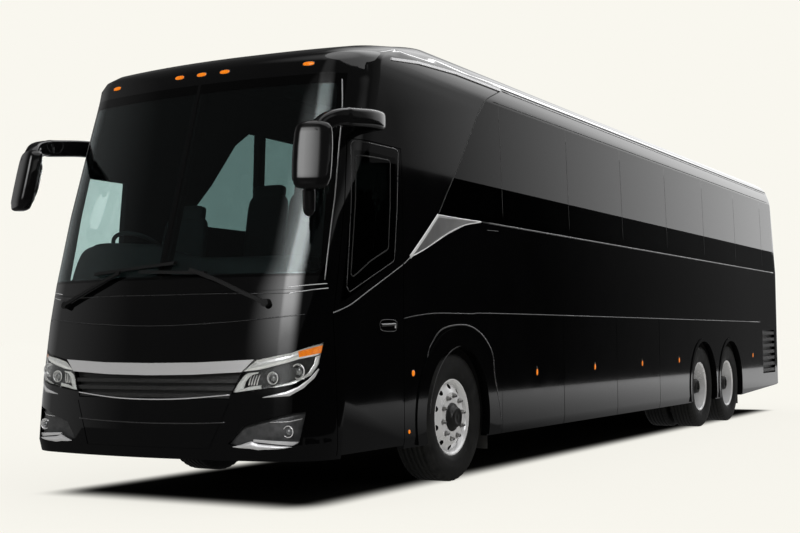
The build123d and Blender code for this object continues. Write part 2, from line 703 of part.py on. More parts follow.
front_hole_circle = 238.0
dish_hole_circle = 229.0
for side, word in ((1, "left"), (-1, "right")):
    with BuildPart() as front_tyre:
        add(wheel_solid(tyre_profile, side, wheel_x, front_axle_y))
    save(front_tyre.part, f"front_tyre_{word}")
    with BuildPart() as front_rim:
        add(wheel_solid(front_rim_profile, side, wheel_x, front_axle_y))
        add(hand_hole_pins(side, wheel_x, front_axle_y, front_hole_circle, 60.0, 120.0), mode=Mode.SUBTRACT)
    save(front_rim.part, f"front_rim_{word}")
    with BuildPart() as drive_tyres:
        for offset_x in (0.0, twin_spacing):
            add(wheel_solid(tyre_profile, side, wheel_x - offset_x, drive_axle_y))
    save(drive_tyres.part, f"drive_tyres_{word}")
    with BuildPart() as drive_rims:
        add(wheel_solid(dish_rim_profile, side, wheel_x, drive_axle_y))
        add(wheel_solid(inner_rim_profile, side, wheel_x - twin_spacing, drive_axle_y))
        add(hand_hole_pins(side, wheel_x, drive_axle_y, dish_hole_circle, -230.0, -105.0), mode=Mode.SUBTRACT)
    save(drive_rims.part, f"drive_rims_{word}")
    with BuildPart() as tag_tyre:
        add(wheel_solid(tyre_profile, side, wheel_x, tag_axle_y))
    save(tag_tyre.part, f"tag_tyre_{word}")
    with BuildPart() as tag_rim:
        add(wheel_solid(dish_rim_profile, side, wheel_x, tag_axle_y))
        add(hand_hole_pins(side, wheel_x, tag_axle_y, dish_hole_circle, -175.0, -105.0), mode=Mode.SUBTRACT)
    save(tag_rim.part, f"tag_rim_{word}")

# ---------------------------------------------------------------- axles and knuckles
kingpin_x = 925.0
kingpin_radius = 22.0
eye_radius = 48.0
eye_half = 50.0
fork_thick = 38.0
fork_gap = 5.0
fork_clear = 12.0  # between the axle's eye and the fork's back
fork_back = 20.0
beam_half = 45.0
spindle_end = wheel_x + 118.0  # inside the front hub
rear_spindle_end = wheel_x + 55.0
spindle_run = spindle_radius - bearing_gap
spring_radius = 110.0
front_spring_radius = 80.0
diff_radius = 210.0
drive_tube_radius = 75.0
tag_tube_radius = 62.0


def upright_cylinder(x, y, radius, z_from, z_to):
    """A vertical cylinder."""
    with BuildPart() as post:
        with BuildSketch(Plane.XY.offset(z_from)):
            with Locations((x, y)):
                Circle(radius)
        extrude(amount=z_to - z_from)
    return post.part


def cross_cylinder(y, z, radius, x_from, x_to):
    """A cylinder across the vehicle."""
    with BuildPart() as bar:
        with BuildSketch(Plane.YZ.offset(min(x_from, x_to))):
            with Locations((y, z)):
                Circle(radius)
        extrude(amount=abs(x_to - x_from))
    return bar.part


with BuildPart() as front_axle:
    add(block(-kingpin_x, kingpin_x, front_axle_y - beam_half, front_axle_y + beam_half,
              axle_height - eye_half,
              axle_height + eye_half))
    for side in (1, -1):
        add(upright_cylinder(side * rail_x, front_axle_y, front_spring_radius, axle_height, rail_low))
    for side in (1, -1):
        add(block(side * (kingpin_x - 20.0), side * far, -far, 0, 0, far), mode=Mode.SUBTRACT)
        add(upright_cylinder(side * kingpin_x, front_axle_y, eye_radius, axle_height - eye_half,
                             axle_height + eye_half))
        add(upright_cylinder(side * kingpin_x, front_axle_y, kingpin_radius + bearing_gap, 0, far),
            mode=Mode.SUBTRACT)
save(front_axle.part, "front_axle")

for side, word in ((1, "left"), (-1, "right")):
    with BuildPart() as knuckle:
        outer = kingpin_x + eye_radius + fork_clear
        fork_reach = eye_half + fork_gap
        for low in (axle_height - fork_reach - fork_thick, axle_height + fork_reach):
            add(upright_cylinder(side * kingpin_x, front_axle_y, eye_radius, low, low + fork_thick))
            add(block(side * kingpin_x, side * (outer + fork_back), front_axle_y - eye_radius,
                      front_axle_y + eye_radius, low, low + fork_thick))
        add(block(side * outer, side * (outer + fork_back), front_axle_y - eye_radius,
                  front_axle_y + eye_radius,
                  axle_height - fork_reach - fork_thick, axle_height + fork_reach + fork_thick))
        add(upright_cylinder(side * kingpin_x, front_axle_y, kingpin_radius,
                             axle_height - fork_reach - fork_thick, axle_height + fork_reach + fork_thick))
        add(cross_cylinder(front_axle_y, axle_height, spindle_run, side * outer, side * spindle_end))
    save(knuckle.part, f"knuckle_{word}")

with BuildPart() as rear_axles:
    for axle_y, tube, tube_end in ((drive_axle_y, drive_tube_radius,
                                    wheel_x - twin_spacing - tyre_half - 20.0),
                                   (tag_axle_y, tag_tube_radius, wheel_x - tyre_half - 62.0)):
        with BuildPart(mode=Mode.PRIVATE) as axle:
            add(cross_cylinder(axle_y, axle_height, tube, -tube_end, tube_end))
            add(cross_cylinder(axle_y, axle_height, spindle_run, -rear_spindle_end, rear_spindle_end))
            for side in (1, -1):
                add(upright_cylinder(side * rail_x, axle_y, spring_radius, axle_height, rail_low))
            if axle_y == drive_axle_y:
                with Locations((0, axle_y, axle_height)):
                    Sphere(diff_radius)
        add(axle.part)
save(rear_axles.part, "rear_axles")

flap_in_x = 960.0
flap_out_x = inside_x - 20.0
flap_thick = 10.0
flap_low = 200.0
flap_high = 560.0
with BuildPart() as mudflaps:
    for axle_y, radius in ((front_axle_y, front_housing_radius), (tag_axle_y, rear_housing_radius)):
        flap_y = axle_y + radius + housing_thick + touch
        for side in (1, -1):
            add(block(side * flap_in_x, side * flap_out_x, flap_y, flap_y + flap_thick, flap_low, flap_high))
save(mudflaps.part, "mudflaps")

# ---------------------------------------------------------------- trim, lamps, mirrors and wipers
triangle = [(-5140, 1706), (-4676, belt_z - 4), (-3915, belt_z - 4), (-4226, 2012), (-4517, 1925),
            (-4883, 1788)]
roof_rail = [(-5310, 3150), (-4870, 3204), (-4210, 3242), (-3345, 3244), (-3345, 3266), (-4210, 3264),
             (-4870, 3226),
             (-5310, 3170)]
trim_form = body_form(-3.0)
with BuildPart() as bright_trim:
    add(front_bar.part)
    for side in (1, -1):
        add((trim_form - outer_form) & side_prism(triangle, side * skin_x, side * far))
        add((bar_form - outer_form) & side_prism(roof_rail, side * skin_x, side * far))
        add((pane_form - body_form(recess_depth - touch))
            & front_prism(mirrored(fog_blade, side), -far, lamp_region_y))
save(bright_trim.part, "bright_trim")
save(grilles.part, "grilles")

roof_marker_x = [0.0, 207.0, -207.0, 882.0, -882.0]
roof_marker_z = 3064.0
roof_marker_half = 50.0
roof_marker_proud = 10.0
side_marker_half = 40.0
marker_half_high = 17.0
side_marker_places = [(-5169, 439), (-5100, 862), (-2821, 818), (-1358, 830), (94, 836), (1442, 845),
                      (4923, 853)]
with BuildPart() as marker_lamps:
    roof_lens_shell = body_form(-roof_marker_proud) - outer_form
    for x in roof_marker_x:
        add(roof_lens_shell & block(x - roof_marker_half, x + roof_marker_half, -far, screen_depth_y,
                                    roof_marker_z - marker_half_high, roof_marker_z + marker_half_high))
    for side in (1, -1):
        for y, z in side_marker_places:
            add((trim_form - outer_form) & block(side * skin_x, side * far, y - side_marker_half,
                                                 y + side_marker_half, z - marker_half_high,
                                                 z + marker_half_high))
save(marker_lamps.part, "marker_lamps")

mirror_x = 1293.0
mirror_y = -6385.0
mirror_z = 2315.0
mirror_width = 240.0
mirror_height = 470.0
mirror_deep = 150.0
mirror_round = 60.0
arm_path = [(1255, -5600, 2670), (1345, -5860, 2690), (1360, -6250, 2690), (1300, -6385, 2640),
            (1293, -6385, 2500)]
with BuildPart() as mirrors:
    for side in (1, -1):
        points = [(side * x, y, z) for x, y, z in arm_path]
        with BuildPart(mode=Mode.PRIVATE) as mirror:
            with BuildLine() as route:
                FilletPolyline(*points, radius=60.0)
            start = Vector(*points[1]) - Vector(*points[0])
            with BuildSketch(Plane(origin=points[0], x_dir=(0, 0, 1), z_dir=start.normalized())):
                RectangleRounded(105.0, 62.0, 24.0)
            sweep(path=route.wires()[0])
            with Locations((side * mirror_x, mirror_y, mirror_z)):
                head = Box(mirror_width, mirror_deep, mirror_height, mode=Mode.PRIVATE)
            add(head.fillet(mirror_round, head.edges()))
            add(outer_form, mode=Mode.SUBTRACT)
        add(mirror.part)
save(mirrors.part, "mirrors")

# Wipers, front view: pivot, elbow and arm end, then the blade's two ends
WIPERS = [
    ([(-916.0, 1381.0), (-640.0, 1492.0), (-369.0, 1601.0)], [(-634.0, 1598.0), (118.0, 1652.0)]),
    ([(878.0, 1362.0), (490.0, 1526.0), (262.0, 1603.0)], [(-187.0, 1599.0), (385.0, 1575.0)]),
]
arm_half = 13.0
blade_half = 11.0
blade_shell = body_form(-34.0) - outer_form
arm_shell = body_form(-40.0) - body_form(-20.0)


def ribbon(points, half):
    """A front-view outline `half` above and below a line of points."""
    return [(x, z + half) for x, z in points] + [(x, z - half) for x, z in reversed(points)]


with BuildPart() as wipers:
    for arm, blade in WIPERS:
        add(arm_shell & front_prism(ribbon(arm, arm_half), -far, screen_depth_y))
        add(blade_shell & front_prism(ribbon(blade, blade_half), -far, screen_depth_y))
        with BuildPart(mode=Mode.PRIVATE) as boss:
            with BuildSketch(Plane.XZ.offset(-screen_depth_y)):
                with Locations(arm[0]):
                    Circle(2 * arm_half)
            extrude(amount=far)
            add(body_form(-40.0) - outer_form, mode=Mode.INTERSECT)
        add(boss.part)
save(wipers.part, "wipers")
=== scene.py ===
"""A three-axle coach bus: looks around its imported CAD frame. Metres, the bus faces -Y, +X is its left, Z is up."""
import math

import bmesh
import bpy
import numpy as np
from mathutils import Matrix, Vector


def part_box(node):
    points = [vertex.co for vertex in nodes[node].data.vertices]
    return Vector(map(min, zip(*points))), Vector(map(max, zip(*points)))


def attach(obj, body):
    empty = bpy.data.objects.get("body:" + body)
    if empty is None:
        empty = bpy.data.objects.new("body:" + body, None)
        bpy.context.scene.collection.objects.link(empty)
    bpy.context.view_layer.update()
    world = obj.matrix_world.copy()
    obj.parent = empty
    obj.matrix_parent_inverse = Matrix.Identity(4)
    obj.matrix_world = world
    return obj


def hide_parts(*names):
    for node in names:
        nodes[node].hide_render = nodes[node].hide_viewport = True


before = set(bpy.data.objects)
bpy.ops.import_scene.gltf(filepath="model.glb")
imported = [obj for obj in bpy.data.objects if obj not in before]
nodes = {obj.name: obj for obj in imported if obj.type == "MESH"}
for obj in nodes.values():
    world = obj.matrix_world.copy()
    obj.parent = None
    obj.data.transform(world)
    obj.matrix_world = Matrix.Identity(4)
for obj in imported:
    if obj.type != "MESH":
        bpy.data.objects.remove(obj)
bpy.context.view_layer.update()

# -------------------- chassis, axles and engine
# Welded steel rails, floors and arch liners in satin black chassis paint, cast axles and a plain engine block.
# They hang under the deck, and carry the springs' stand-ins, the knuckles and the hubs.


def feed(tree, socket, value):
    """Links a socket to an output, or gives it a plain value."""
    if isinstance(value, bpy.types.NodeSocket):
        tree.links.new(value, socket)
    else:
        socket.default_value = value


def maths(tree, operation, *values):
    """The output of a maths node."""
    node = tree.nodes.new("ShaderNodeMath")
    node.operation = operation
    for socket, value in zip(node.inputs, values):
        feed(tree, socket, value)
    return node.outputs[0]


def product(tree, first, *others):
    """Several values multiplied."""
    for other in others:
        first = maths(tree, "MULTIPLY", first, other)
    return first


def ranged(tree, value, from_min, from_max, to_min=0.0, to_max=1.0, kind="SMOOTHSTEP"):
    """A map of a value from one range to another."""
    node = tree.nodes.new("ShaderNodeMapRange")
    node.interpolation_type = kind
    for socket, bound in zip(node.inputs, (value, from_min, from_max, to_min, to_max)):
        feed(tree, socket, bound)
    return node.outputs["Result"]


def mixed(tree, factor, first, second):
    """Two colours or values mixed by a factor."""
    node = tree.nodes.new("ShaderNodeMix")
    node.data_type = "RGBA"
    for name, value in (("Factor", factor), ("A", first), ("B", second)):
        feed(tree, node.inputs[name], value)
    return node.outputs["Result"]


def split(tree, vector):
    """The x, y and z of a vector link."""
    node = tree.nodes.new("ShaderNodeSeparateXYZ")
    feed(tree, node.inputs[0], vector)
    return node.outputs


def new_group(name, inputs, outputs):
    """A node group with named sockets, "Color" ones for colours: the group and its outputs' sockets."""
    group = bpy.data.node_groups.new(name, "ShaderNodeTree")
    for way, names in (("INPUT", inputs), ("OUTPUT", outputs)):
        for socket in names:
            kind = "NodeSocketColor" if "Color" in socket else "NodeSocketFloat"
            group.interface.new_socket(name=socket, in_out=way, socket_type=kind)
    return group, group.nodes.new("NodeGroupOutput").inputs


def surface_grain_group():
    """A node group of fine noise: mixes two colours and two roughnesses, and puts out a height for a bump."""
    group, out = new_group("surface_grain", ["Scale", "Clean Color", "Wear And Reflection Color", "Low Roughness",
                                             "High Roughness"], ["Color", "Roughness", "Height"])
    given = group.nodes.new("NodeGroupInput").outputs
    noise = group.nodes.new("ShaderNodeTexNoise")
    noise.inputs["Detail"].default_value = 6.0
    feed(group, noise.inputs["Vector"], group.nodes.new("ShaderNodeTexCoord").outputs["Object"])
    feed(group, noise.inputs["Scale"], given["Scale"])
    height = noise.outputs["Fac"]
    share = ranged(group, height, 0.32, 0.68, kind="LINEAR")
    rough = ranged(group, share, 0.0, 1.0, given["Low Roughness"], given["High Roughness"], "LINEAR")
    for socket, value in zip(out, (mixed(group, share, given["Clean Color"], given["Wear And Reflection Color"]), rough, height)):
        feed(group, socket, value)
    return group


surface_grain = surface_grain_group()


def new_material(name, **plain):
    """A new material with `plain` shader values, its node tree and its shader's inputs."""
    material = bpy.data.materials.new(name)
    material.use_nodes = True
    shader = material.node_tree.nodes["Principled BSDF"].inputs
    for socket, value in plain.items():
        shader[socket.replace("_", " ")].default_value = value
    return material, material.node_tree, shader


def finish(name, clean, wear_and_reflection, roughness, scale, bump=0.0, **plain):
    """A material whose colour (or grey), roughness and bump come from surface_grain; `plain` are shader values."""
    material, tree, shader = new_material(name, **plain)
    grain = tree.nodes.new("ShaderNodeGroup")
    grain.node_tree = surface_grain
    colors = [(*np.broadcast_to(color, 3).tolist(), 1.0) for color in (clean, wear_and_reflection)]
    for socket, value in zip(grain.inputs, (scale, *colors, *roughness)):
        socket.default_value = value
    feed(tree, shader["Base Color"], grain.outputs["Color"])
    feed(tree, shader["Roughness"], grain.outputs["Roughness"])
    if bump:
        relief = tree.nodes.new("ShaderNodeBump")
        for socket, value in (("Strength", 0.4), ("Distance", bump), ("Height", grain.outputs["Height"])):
            feed(tree, relief.inputs[socket], value)
        feed(tree, shader["Normal"], relief.outputs["Normal"])
    return material


def dress(material, *names):
    """Gives CAD nodes a material."""
    for name in names:
        data = nodes[name].data
        data.materials.clear()
        data.materials.append(material)


chassis_paint = finish("chassis_paint", (0.012, 0.012, 0.013), (0.022, 0.021, 0.02), (0.5, 0.7), 6.0, 0.002,
                       Specular_IOR_Level=0.2)
axle_paint = finish("axle_paint", 0.02, (0.06, 0.055, 0.05), (0.5, 0.75), 14.0, 0.002)
cast_iron = finish("cast_iron", 0.09, (0.14, 0.13, 0.12), (0.5, 0.7), 30.0, 0.003, Metallic=0.6)
dress(chassis_paint, "chassis_frame")
dress(axle_paint, "front_axle", "rear_axles", "knuckle_left", "knuckle_right")
dress(cast_iron, "engine_block")

# -------------------- wheels
# 22.5-inch forged aluminium rims with ten hand holes and ten nuts, radial tyres with ribbed treads.
# Front rims face outwards round a black hub, the drive and tag rims are deep dishes.
wheel_alloy = finish("wheel_alloy", (0.84, 0.84, 0.85), (0.78, 0.78, 0.79), (0.22, 0.28), 5.0, Metallic=0.45,
                     Coat_Weight=0.2)
sides = (("left", 1.0), ("right", -1.0))
for word, side in sides:
    dress(wheel_alloy, f"front_rim_{word}", f"drive_rims_{word}", f"tag_rim_{word}")
tyre_rubber = finish("tyre_rubber", 0.006, (0.011, 0.011, 0.0105), (0.5, 0.65), 18.0, 0.0015, Specular_IOR_Level=0.25)


def add_surface(name, points, material=None, closed_u=False, closed_v=False, smooth=True):
    """A mesh from a grid of points (rows u, columns v, xyz), or from several, in quads, closed where asked."""
    rows, columns = points.shape[-3:-1]
    index = np.arange(rows * columns).reshape(rows, columns)
    if closed_u:
        index = np.vstack([index, index[:1]])
    if closed_v:
        index = np.hstack([index, index[:, :1]])
    quads = np.stack([index[:-1, :-1], index[1:, :-1], index[1:, 1:], index[:-1, 1:]], axis=-1).reshape(1, -1, 4)
    first = np.arange(0, points.size // 3, rows * columns)[:, None, None]
    return add_faces(name, points.reshape(-1, 3), (quads + first).reshape(-1, 4), material, smooth)


def add_object(name, data):
    """A new object in the scene."""
    piece = bpy.data.objects.new(name, data)
    bpy.context.scene.collection.objects.link(piece)
    return piece


def add_faces(name, vertices, faces, material=None, smooth=True):
    """A mesh object from vertex and face arrays."""
    mesh = bpy.data.meshes.new(name)
    mesh.from_pydata(vertices.tolist(), [], faces.tolist())
    mesh.polygons.foreach_set("use_smooth", np.full(len(faces), smooth))
    if material:
        mesh.materials.append(material)
    mesh.update()
    return add_object(name, mesh)


def place_piece(piece, body, slot, *replaced):
    """Rides a piece on its body, in place of the nodes that it stands for. Its slot is not used."""
    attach(piece, body)
    if replaced:
        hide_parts(*replaced)
    return piece


def node_middle(node):
    """The middle of a CAD node's box."""
    low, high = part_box(node)
    return np.array((low + high) / 2)


def circle(count):
    """Equal angles round a circle."""
    return np.linspace(0, 2 * np.pi, count, endpoint=False)


def stacked(*parts):
    """Points from their coordinates, which are numbers or arrays that broadcast."""
    return np.stack(np.broadcast_arrays(*parts), axis=-1)


def turned(along, radius, angle, centre):
    """Points about an axle along X: x = along, y = radius cos(angle), z = radius sin(angle), from the centre."""
    return stacked(centre[0] + along, centre[1] + radius * np.cos(angle), centre[2] + radius * np.sin(angle))


# One side of the tyre's section (out along the axle, radius), its tread's grooves, and where its lugs begin
tyre_side = np.array([
    (0.1036, 0.2873), (0.1076, 0.2983), (0.122, 0.2983), (0.13, 0.312), (0.137, 0.328), (0.1415, 0.345),
    (0.1425, 0.352), (0.1462, 0.375), (0.1478, 0.398), (0.147, 0.425), (0.1445, 0.448), (0.1428, 0.452),
    (0.1425, 0.462), (0.1385, 0.474), (0.13, 0.487), (0.121, 0.4945)])
tread_radius, tread_edge = 0.4995, (0.112, 0.4985)
tread_grooves = (0.0, 0.042, 0.082)
groove_half, groove_deep, lug_deep = 0.006, 0.011, 0.007
lug_radius, lug_out = 0.485, 0.095


def tyre_section():
    """Closed half-profile mirrored: sidewall, shoulder, then a crowned tread with sunk grooves, and back."""
    tread = [tread_edge]
    for place in reversed(tread_grooves):
        for way, deep in ((1, 0.0), (1, groove_deep), (-1, groove_deep), (-1, 0.0)):
            tread.append((place + way * groove_half, tread_radius - deep))
    half = np.vstack([tyre_side, np.array(tread)])
    half = half[half[:, 0] > 0]
    return np.vstack([half, half[::-1] * (-1, 1)])


def tyre_grid(centre, outward, turns=144):
    """The section turned about its axle; every third step of the shoulder is cut back between lugs."""
    out, radius = tyre_section().T
    angle = circle(turns)[:, None]
    shoulder = (radius > lug_radius) & (np.abs(out) > lug_out)
    cut = (np.arange(turns) % 3 == 0)[:, None] & shoulder[None]
    return turned(out * outward, radius - lug_deep * cut, angle, centre)


twin_spacing, tyre_half = 0.335, 0.148
for word, side in sides:
    for axle, body in (("front", "front_wheel"), ("tag", "tag_wheel"), ("drive", "drive_wheels")):
        twins = axle == "drive"
        node = f"{axle}_tyre{'s' * twins}_{word}"
        centre = node_middle(node)
        if twins:
            outer_x = max(abs(corner.x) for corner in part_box(node)) - tyre_half
            centre[0] = side * outer_x
        grids = [tyre_grid(centre - (side * i * twin_spacing, 0, 0), side) for i in range(1 + twins)]
        tyres = add_surface(f"{axle}_tyre_tread{'s' * twins}_{word}", np.array(grids), tyre_rubber, True, True)
        place_piece(tyres, f"{body}_{word}", "tyre", node)

# Ten hexagon nuts round each hub: the circle they stand on, half their width across corners, the first one's turn
nut_circle, nut_across, nut_turn = 0.1675, 0.0165, 0.18
hub_black = finish("hub_black", 0.006, 0.012, (0.35, 0.5), 30.0, 0.001)
nut_steel = finish("nut_steel", 0.55, (0.35, 0.34, 0.33), (0.25, 0.45), 60.0, 0.0005, Metallic=1.0)
# Nut profile: height, radius as a share of the half width across corners
nut_profile = np.array([
    (0.0, 1.35), (0.004, 1.35), (0.006, 1.0), (0.024, 1.0), (0.027, 0.8), (0.034, 0.55), (0.036, 0.0)])


def nut_grids(centre, outward, base_x, count=10, corners=6):
    """Hexagonal lathed profiles at equal angles round the axle."""
    around, corner = circle(count) + nut_turn, circle(corners)
    height, share = nut_profile[:, 0], nut_profile[:, 1] * nut_across
    x = (centre[0] + outward * (base_x + height))[None, :, None]
    y = centre[1] + nut_circle * np.cos(around)[:, None, None] + share[None, :, None] * np.cos(corner)
    z = centre[2] + nut_circle * np.sin(around)[:, None, None] + share[None, :, None] * np.sin(corner)
    order = slice(None) if outward < 0 else slice(None, None, -1)
    return stacked(x, y, z)[:, :, order]


# Painted shade of the ten hand holes: dark discs on each rim's sloping ring: its middle (out along the axle, radius)
# and slope
hand_hole_shade = finish("hand_hole_shade", 0.002, 0.004, (0.8, 0.9), 40.0, Specular_IOR_Level=0.05)
front_hole_shade = (np.array((0.095, 0.238)), np.array((-0.53, 0.848)), 0.0235)
dish_hole_shade = (np.array((-0.1305, 0.2295)), np.array((0.639, 0.77)), 0.0215)


def hole_shade_grids(centre, outward, middle, slope, half, count=10, turns=24):
    """Dark discs of radius `half`, painted shade over the hand holes, on the sloping ring, at equal angles from
    straight up, their rims sunk into it.
    """
    around = (np.pi / 2 + 2 * np.pi * np.arange(count) / count)[:, None, None]
    reach = np.array([0.02, 0.6, 0.94, 1.0])[None, :, None] * half
    turn = circle(turns)[None, None, :] * outward
    lift = np.array([0.0012, 0.0012, 0.0012, -0.001])[None, :, None]
    face = np.array((abs(slope[1]), -slope[0] * np.sign(slope[1])))
    along, radius = (middle[k] + slope[k] * reach * np.cos(turn) + face[k] * lift for k in (0, 1))
    return turned(outward * along, radius, around + reach * np.sin(turn) / radius, centre)


rim_centre_x, front_nut_x, dish_nut_x = 1.11, 0.122, -0.151
# Hub caps: out along the axle, radius
front_hub = np.array([
    (0.1215, 0.112), (0.128, 0.111), (0.134, 0.104), (0.136, 0.088), (0.16, 0.08), (0.1725, 0.074), (0.176, 0.066),
    (0.176, 0.052), (0.173, 0.048), (0.173, 0.012), (0.1765, 0.006), (0.1765, 0.0005)])
dish_hub = np.array([
    (-0.15, 0.134), (-0.139, 0.124), (-0.06, 0.108), (0.084, 0.086), (0.1, 0.075), (0.1005, 0.052), (0.096, 0.047),
    (0.096, 0.012), (0.1, 0.006), (0.1, 0.0005)])
steps = circle(64)[:, None]
axles = [("front", "front_wheel", front_nut_x, front_hub, front_hole_shade),
         ("drive", "drive_wheels", dish_nut_x, dish_hub, dish_hole_shade),
         ("tag", "tag_wheel", dish_nut_x, dish_hub, dish_hole_shade)]
for word, side in sides:
    for axle, body, base, hub, hole_shade in axles:
        centre = node_middle(f"{axle}_rim{'s' * (axle == 'drive')}_{word}")
        centre[0] = side * rim_centre_x
        cap = turned(side * hub[:, 0], hub[:, 1], steps * side, centre)
        # Nuts, dark discs of painted shade over the hand holes, and the hub cap
        pieces = [("wheel_nuts", nut_grids(centre, side, base), nut_steel, (False, True, False), "wheel_alloy"),
                  ("hand_hole_wells", hole_shade_grids(centre, side, *hole_shade), hand_hole_shade, (False, True), "wheel_alloy"),
                  ("hub_cap", cap, hub_black, (True,), "axle_paint")]
        for part, grid, material, closed, slot in pieces:
            place_piece(add_surface(f"{axle}_{part}_{word}", grid, material, *closed), f"{body}_{word}", slot)

# -------------------- body panels
# Steel and composite panels over a tubular frame: walls, roof, cap, mask, bumper and doors in gloss black paint.
# Each is the CAD panel itself, with its shading normals worked out from the smooth body form.
# Body levels: height, nose_back, side_in, corner radius, tail_in, as the CAD body's sections
nose_y, tail_y, half_width = -6.575, 6.575, 1.29
bow_radius, tail_corner = 4.6, 0.18
fold_z = 0.4  # where the sides fold in above the sills
pane_low, pane_high, pane_top = 2.068, 2.995, 3.12
corner_y, screen_end_y = -6.0, -5.2  # where the nose's corners end, and the windscreens
cove_z, sill_z = 3.05, 0.45  # above and below these the form bends fast
body_levels = np.array([
    (0.32, 0.016, 0.012, 0.4, 0.014), (0.4, 0.000, 0.000, 0.4, 0.000), (0.72, 0.028, 0.000, 0.4, 0.000),
    (0.98, 0.062, 0.000, 0.4, 0.000), (1.25, 0.104, 0.000, 0.4, 0.000), (1.53, 0.165, 0.000, 0.4, 0.000),
    (2.068, 0.331, 0.000, 0.36, 0.004), (2.995, 0.615, 0.03, 0.368, 0.108), (3.08, 0.637, 0.034, 0.36, 0.118),
    (3.145, 0.686, 0.044, 0.36, 0.13), (3.2, 0.79, 0.06, 0.355, 0.144), (3.27, 1.06, 0.084, 0.32, 0.15),
    (3.335, 1.43, 0.124, 0.3, 0.172), (3.38, 1.64, 0.188, 0.29, 0.24), (3.41, 1.8, 0.4, 0.29, 0.33),
    (3.432, 1.96, 0.64, 0.29, 0.45), (3.45, 2.35, 0.94, 0.29, 0.8)])


def level_values(height):
    """nose_back, side_in, corner and tail_in at heights, straight between the levels as the CAD body is."""
    return [np.interp(height, body_levels[:, 0], body_levels[:, k]) for k in (1, 2, 3, 4)]


def plan_distance(x, y, nose_back, side_in, corner, tail_in):
    """Signed distance from points to one level's outline: bow arc, corner arc, side, rounded tail."""
    x = np.abs(x)
    wide = half_width - side_in
    arc_x = wide - corner
    bow_y = nose_y + nose_back + bow_radius
    lean = np.arcsin(arc_x / (bow_radius - corner))
    arc_y = bow_y - (bow_radius - corner) * np.cos(lean)
    back = tail_y - tail_in
    bow = np.hypot(x, y - bow_y) - bow_radius
    bend = np.hypot(x - arc_x, y - arc_y) - corner
    tail = np.hypot(x - (wide - tail_corner), y - (back - tail_corner)) - tail_corner
    front = np.where(np.arctan2(x, bow_y - y) < lean, bow, bend)
    rear = np.where((x > wide - tail_corner) & (y > back - tail_corner), tail,
                    np.where(x - wide > y - back, x - wide, y - back))
    return np.where(y < arc_y, front, rear)


def unit(vectors):
    """Vectors of length 1."""
    return vectors / np.linalg.norm(vectors, axis=1, keepdims=True)


def body_normal(points):
    """Outward unit normals: the gradient of the outline distance, eased over a height except along the flat panes."""
    x, y, z = points.T
    step = 0.0005
    ease = np.where(z > cove_z, 0.02, np.where(z > sill_z, 0.12, 0.04))
    near = 0.02
    on_pane = (y > screen_end_y) & (z > pane_low - 0.01) & (z < pane_top)
    up = np.where(on_pane, np.clip(z + near, pane_low + near, pane_high), z + ease)
    down = np.where(on_pane, np.clip(z - near, pane_low, pane_high - near), z - ease)
    on_side = y > corner_y
    down = np.where(on_side & (z > fold_z - 0.001), np.maximum(down, fold_z), down)
    up = np.where(on_side & (z <= fold_z - 0.001), np.minimum(up, fold_z), up)
    values = level_values(z)
    gx = plan_distance(x + step, y, *values) - plan_distance(x - step, y, *values)
    gy = plan_distance(x, y + step, *values) - plan_distance(x, y - step, *values)
    gz = plan_distance(x, y, *level_values(up)) - plan_distance(x, y, *level_values(down))
    return unit(stacked(gx / (2 * step), gy / (2 * step), gz / (up - down)))


def edit_mesh(mesh, operation):
    """Runs a bmesh operation on a mesh."""
    work = bmesh.new()
    work.from_mesh(mesh)
    operation(work)
    work.to_mesh(mesh)
    work.free()


def merged_copy(node, name):
    """A new object from the CAD node's mesh, its loose triangles joined at their shared corners."""
    mesh = nodes[node].data.copy()
    mesh.name = name
    edit_mesh(mesh, lambda work: bmesh.ops.remove_doubles(work, verts=work.verts, dist=0.00002))
    return add_object(name, mesh)


def values_of(items, name, width=1, kind=float):
    """An array of one property of a mesh's parts."""
    values = np.empty(len(items) * width, kind)
    items.foreach_get(name, values)
    return values.reshape(-1, width) if width > 1 else values


least_along = 0.86  # cosine between a face's normal and the form's, for a face that lies along the form


def shade_with_body(piece, material):
    """Corners of faces that lie along the body form get the form's own normal, the rest stay flat."""
    mesh = piece.data
    corners = values_of(mesh.polygons, "loop_total", kind=np.int32)
    flat = np.repeat(values_of(mesh.polygons, "normal", 3), corners, axis=0)
    skin = body_normal(values_of(mesh.vertices, "co", 3))[values_of(mesh.loops, "vertex_index", kind=np.int32)]
    along = (flat * skin).sum(axis=1)
    normals = np.where((np.abs(along) > least_along)[:, None], skin * np.sign(along)[:, None], flat)
    mesh.polygons.foreach_set("use_smooth", np.ones(len(mesh.polygons), bool))
    mesh.normals_split_custom_set(normals.tolist())
    mesh.materials.clear()
    mesh.materials.append(material)


def smooth_panel(node, body, slot, material):
    """A merged copy of a CAD panel, shaded with the body form, in the panel's place."""
    piece = merged_copy(node, f"{node}_skin")
    shade_with_body(piece, material)
    return place_piece(piece, body, slot, node)


body_paint = finish("body_paint", (0.0009, 0.0009, 0.001), (0.0012, 0.0012, 0.0013), (0.05, 0.07), 3.0, IOR=1.5,
                    Coat_Roughness=0.02)


def add_mask(material, name, mask_of, colors):
    """A node group that puts out the mask that `mask_of` makes, set in a material to mix its sockets with colours."""
    group, out = new_group(name, [], ["Mask"])
    feed(group, out["Mask"], mask_of(group, group.nodes.new("ShaderNodeTexCoord").outputs))
    tree = material.node_tree
    shader = tree.nodes["Principled BSDF"].inputs
    node = tree.nodes.new("ShaderNodeGroup")
    node.node_tree = group
    for socket, color in colors.items():
        feed(tree, shader[socket], mixed(tree, node.outputs["Mask"], shader[socket].links[0].from_socket, color))
    return tree, shader, node.outputs["Mask"]


cabin_front, cabin_back, cabin_middle_z = -5.2, 5.9, 2.2


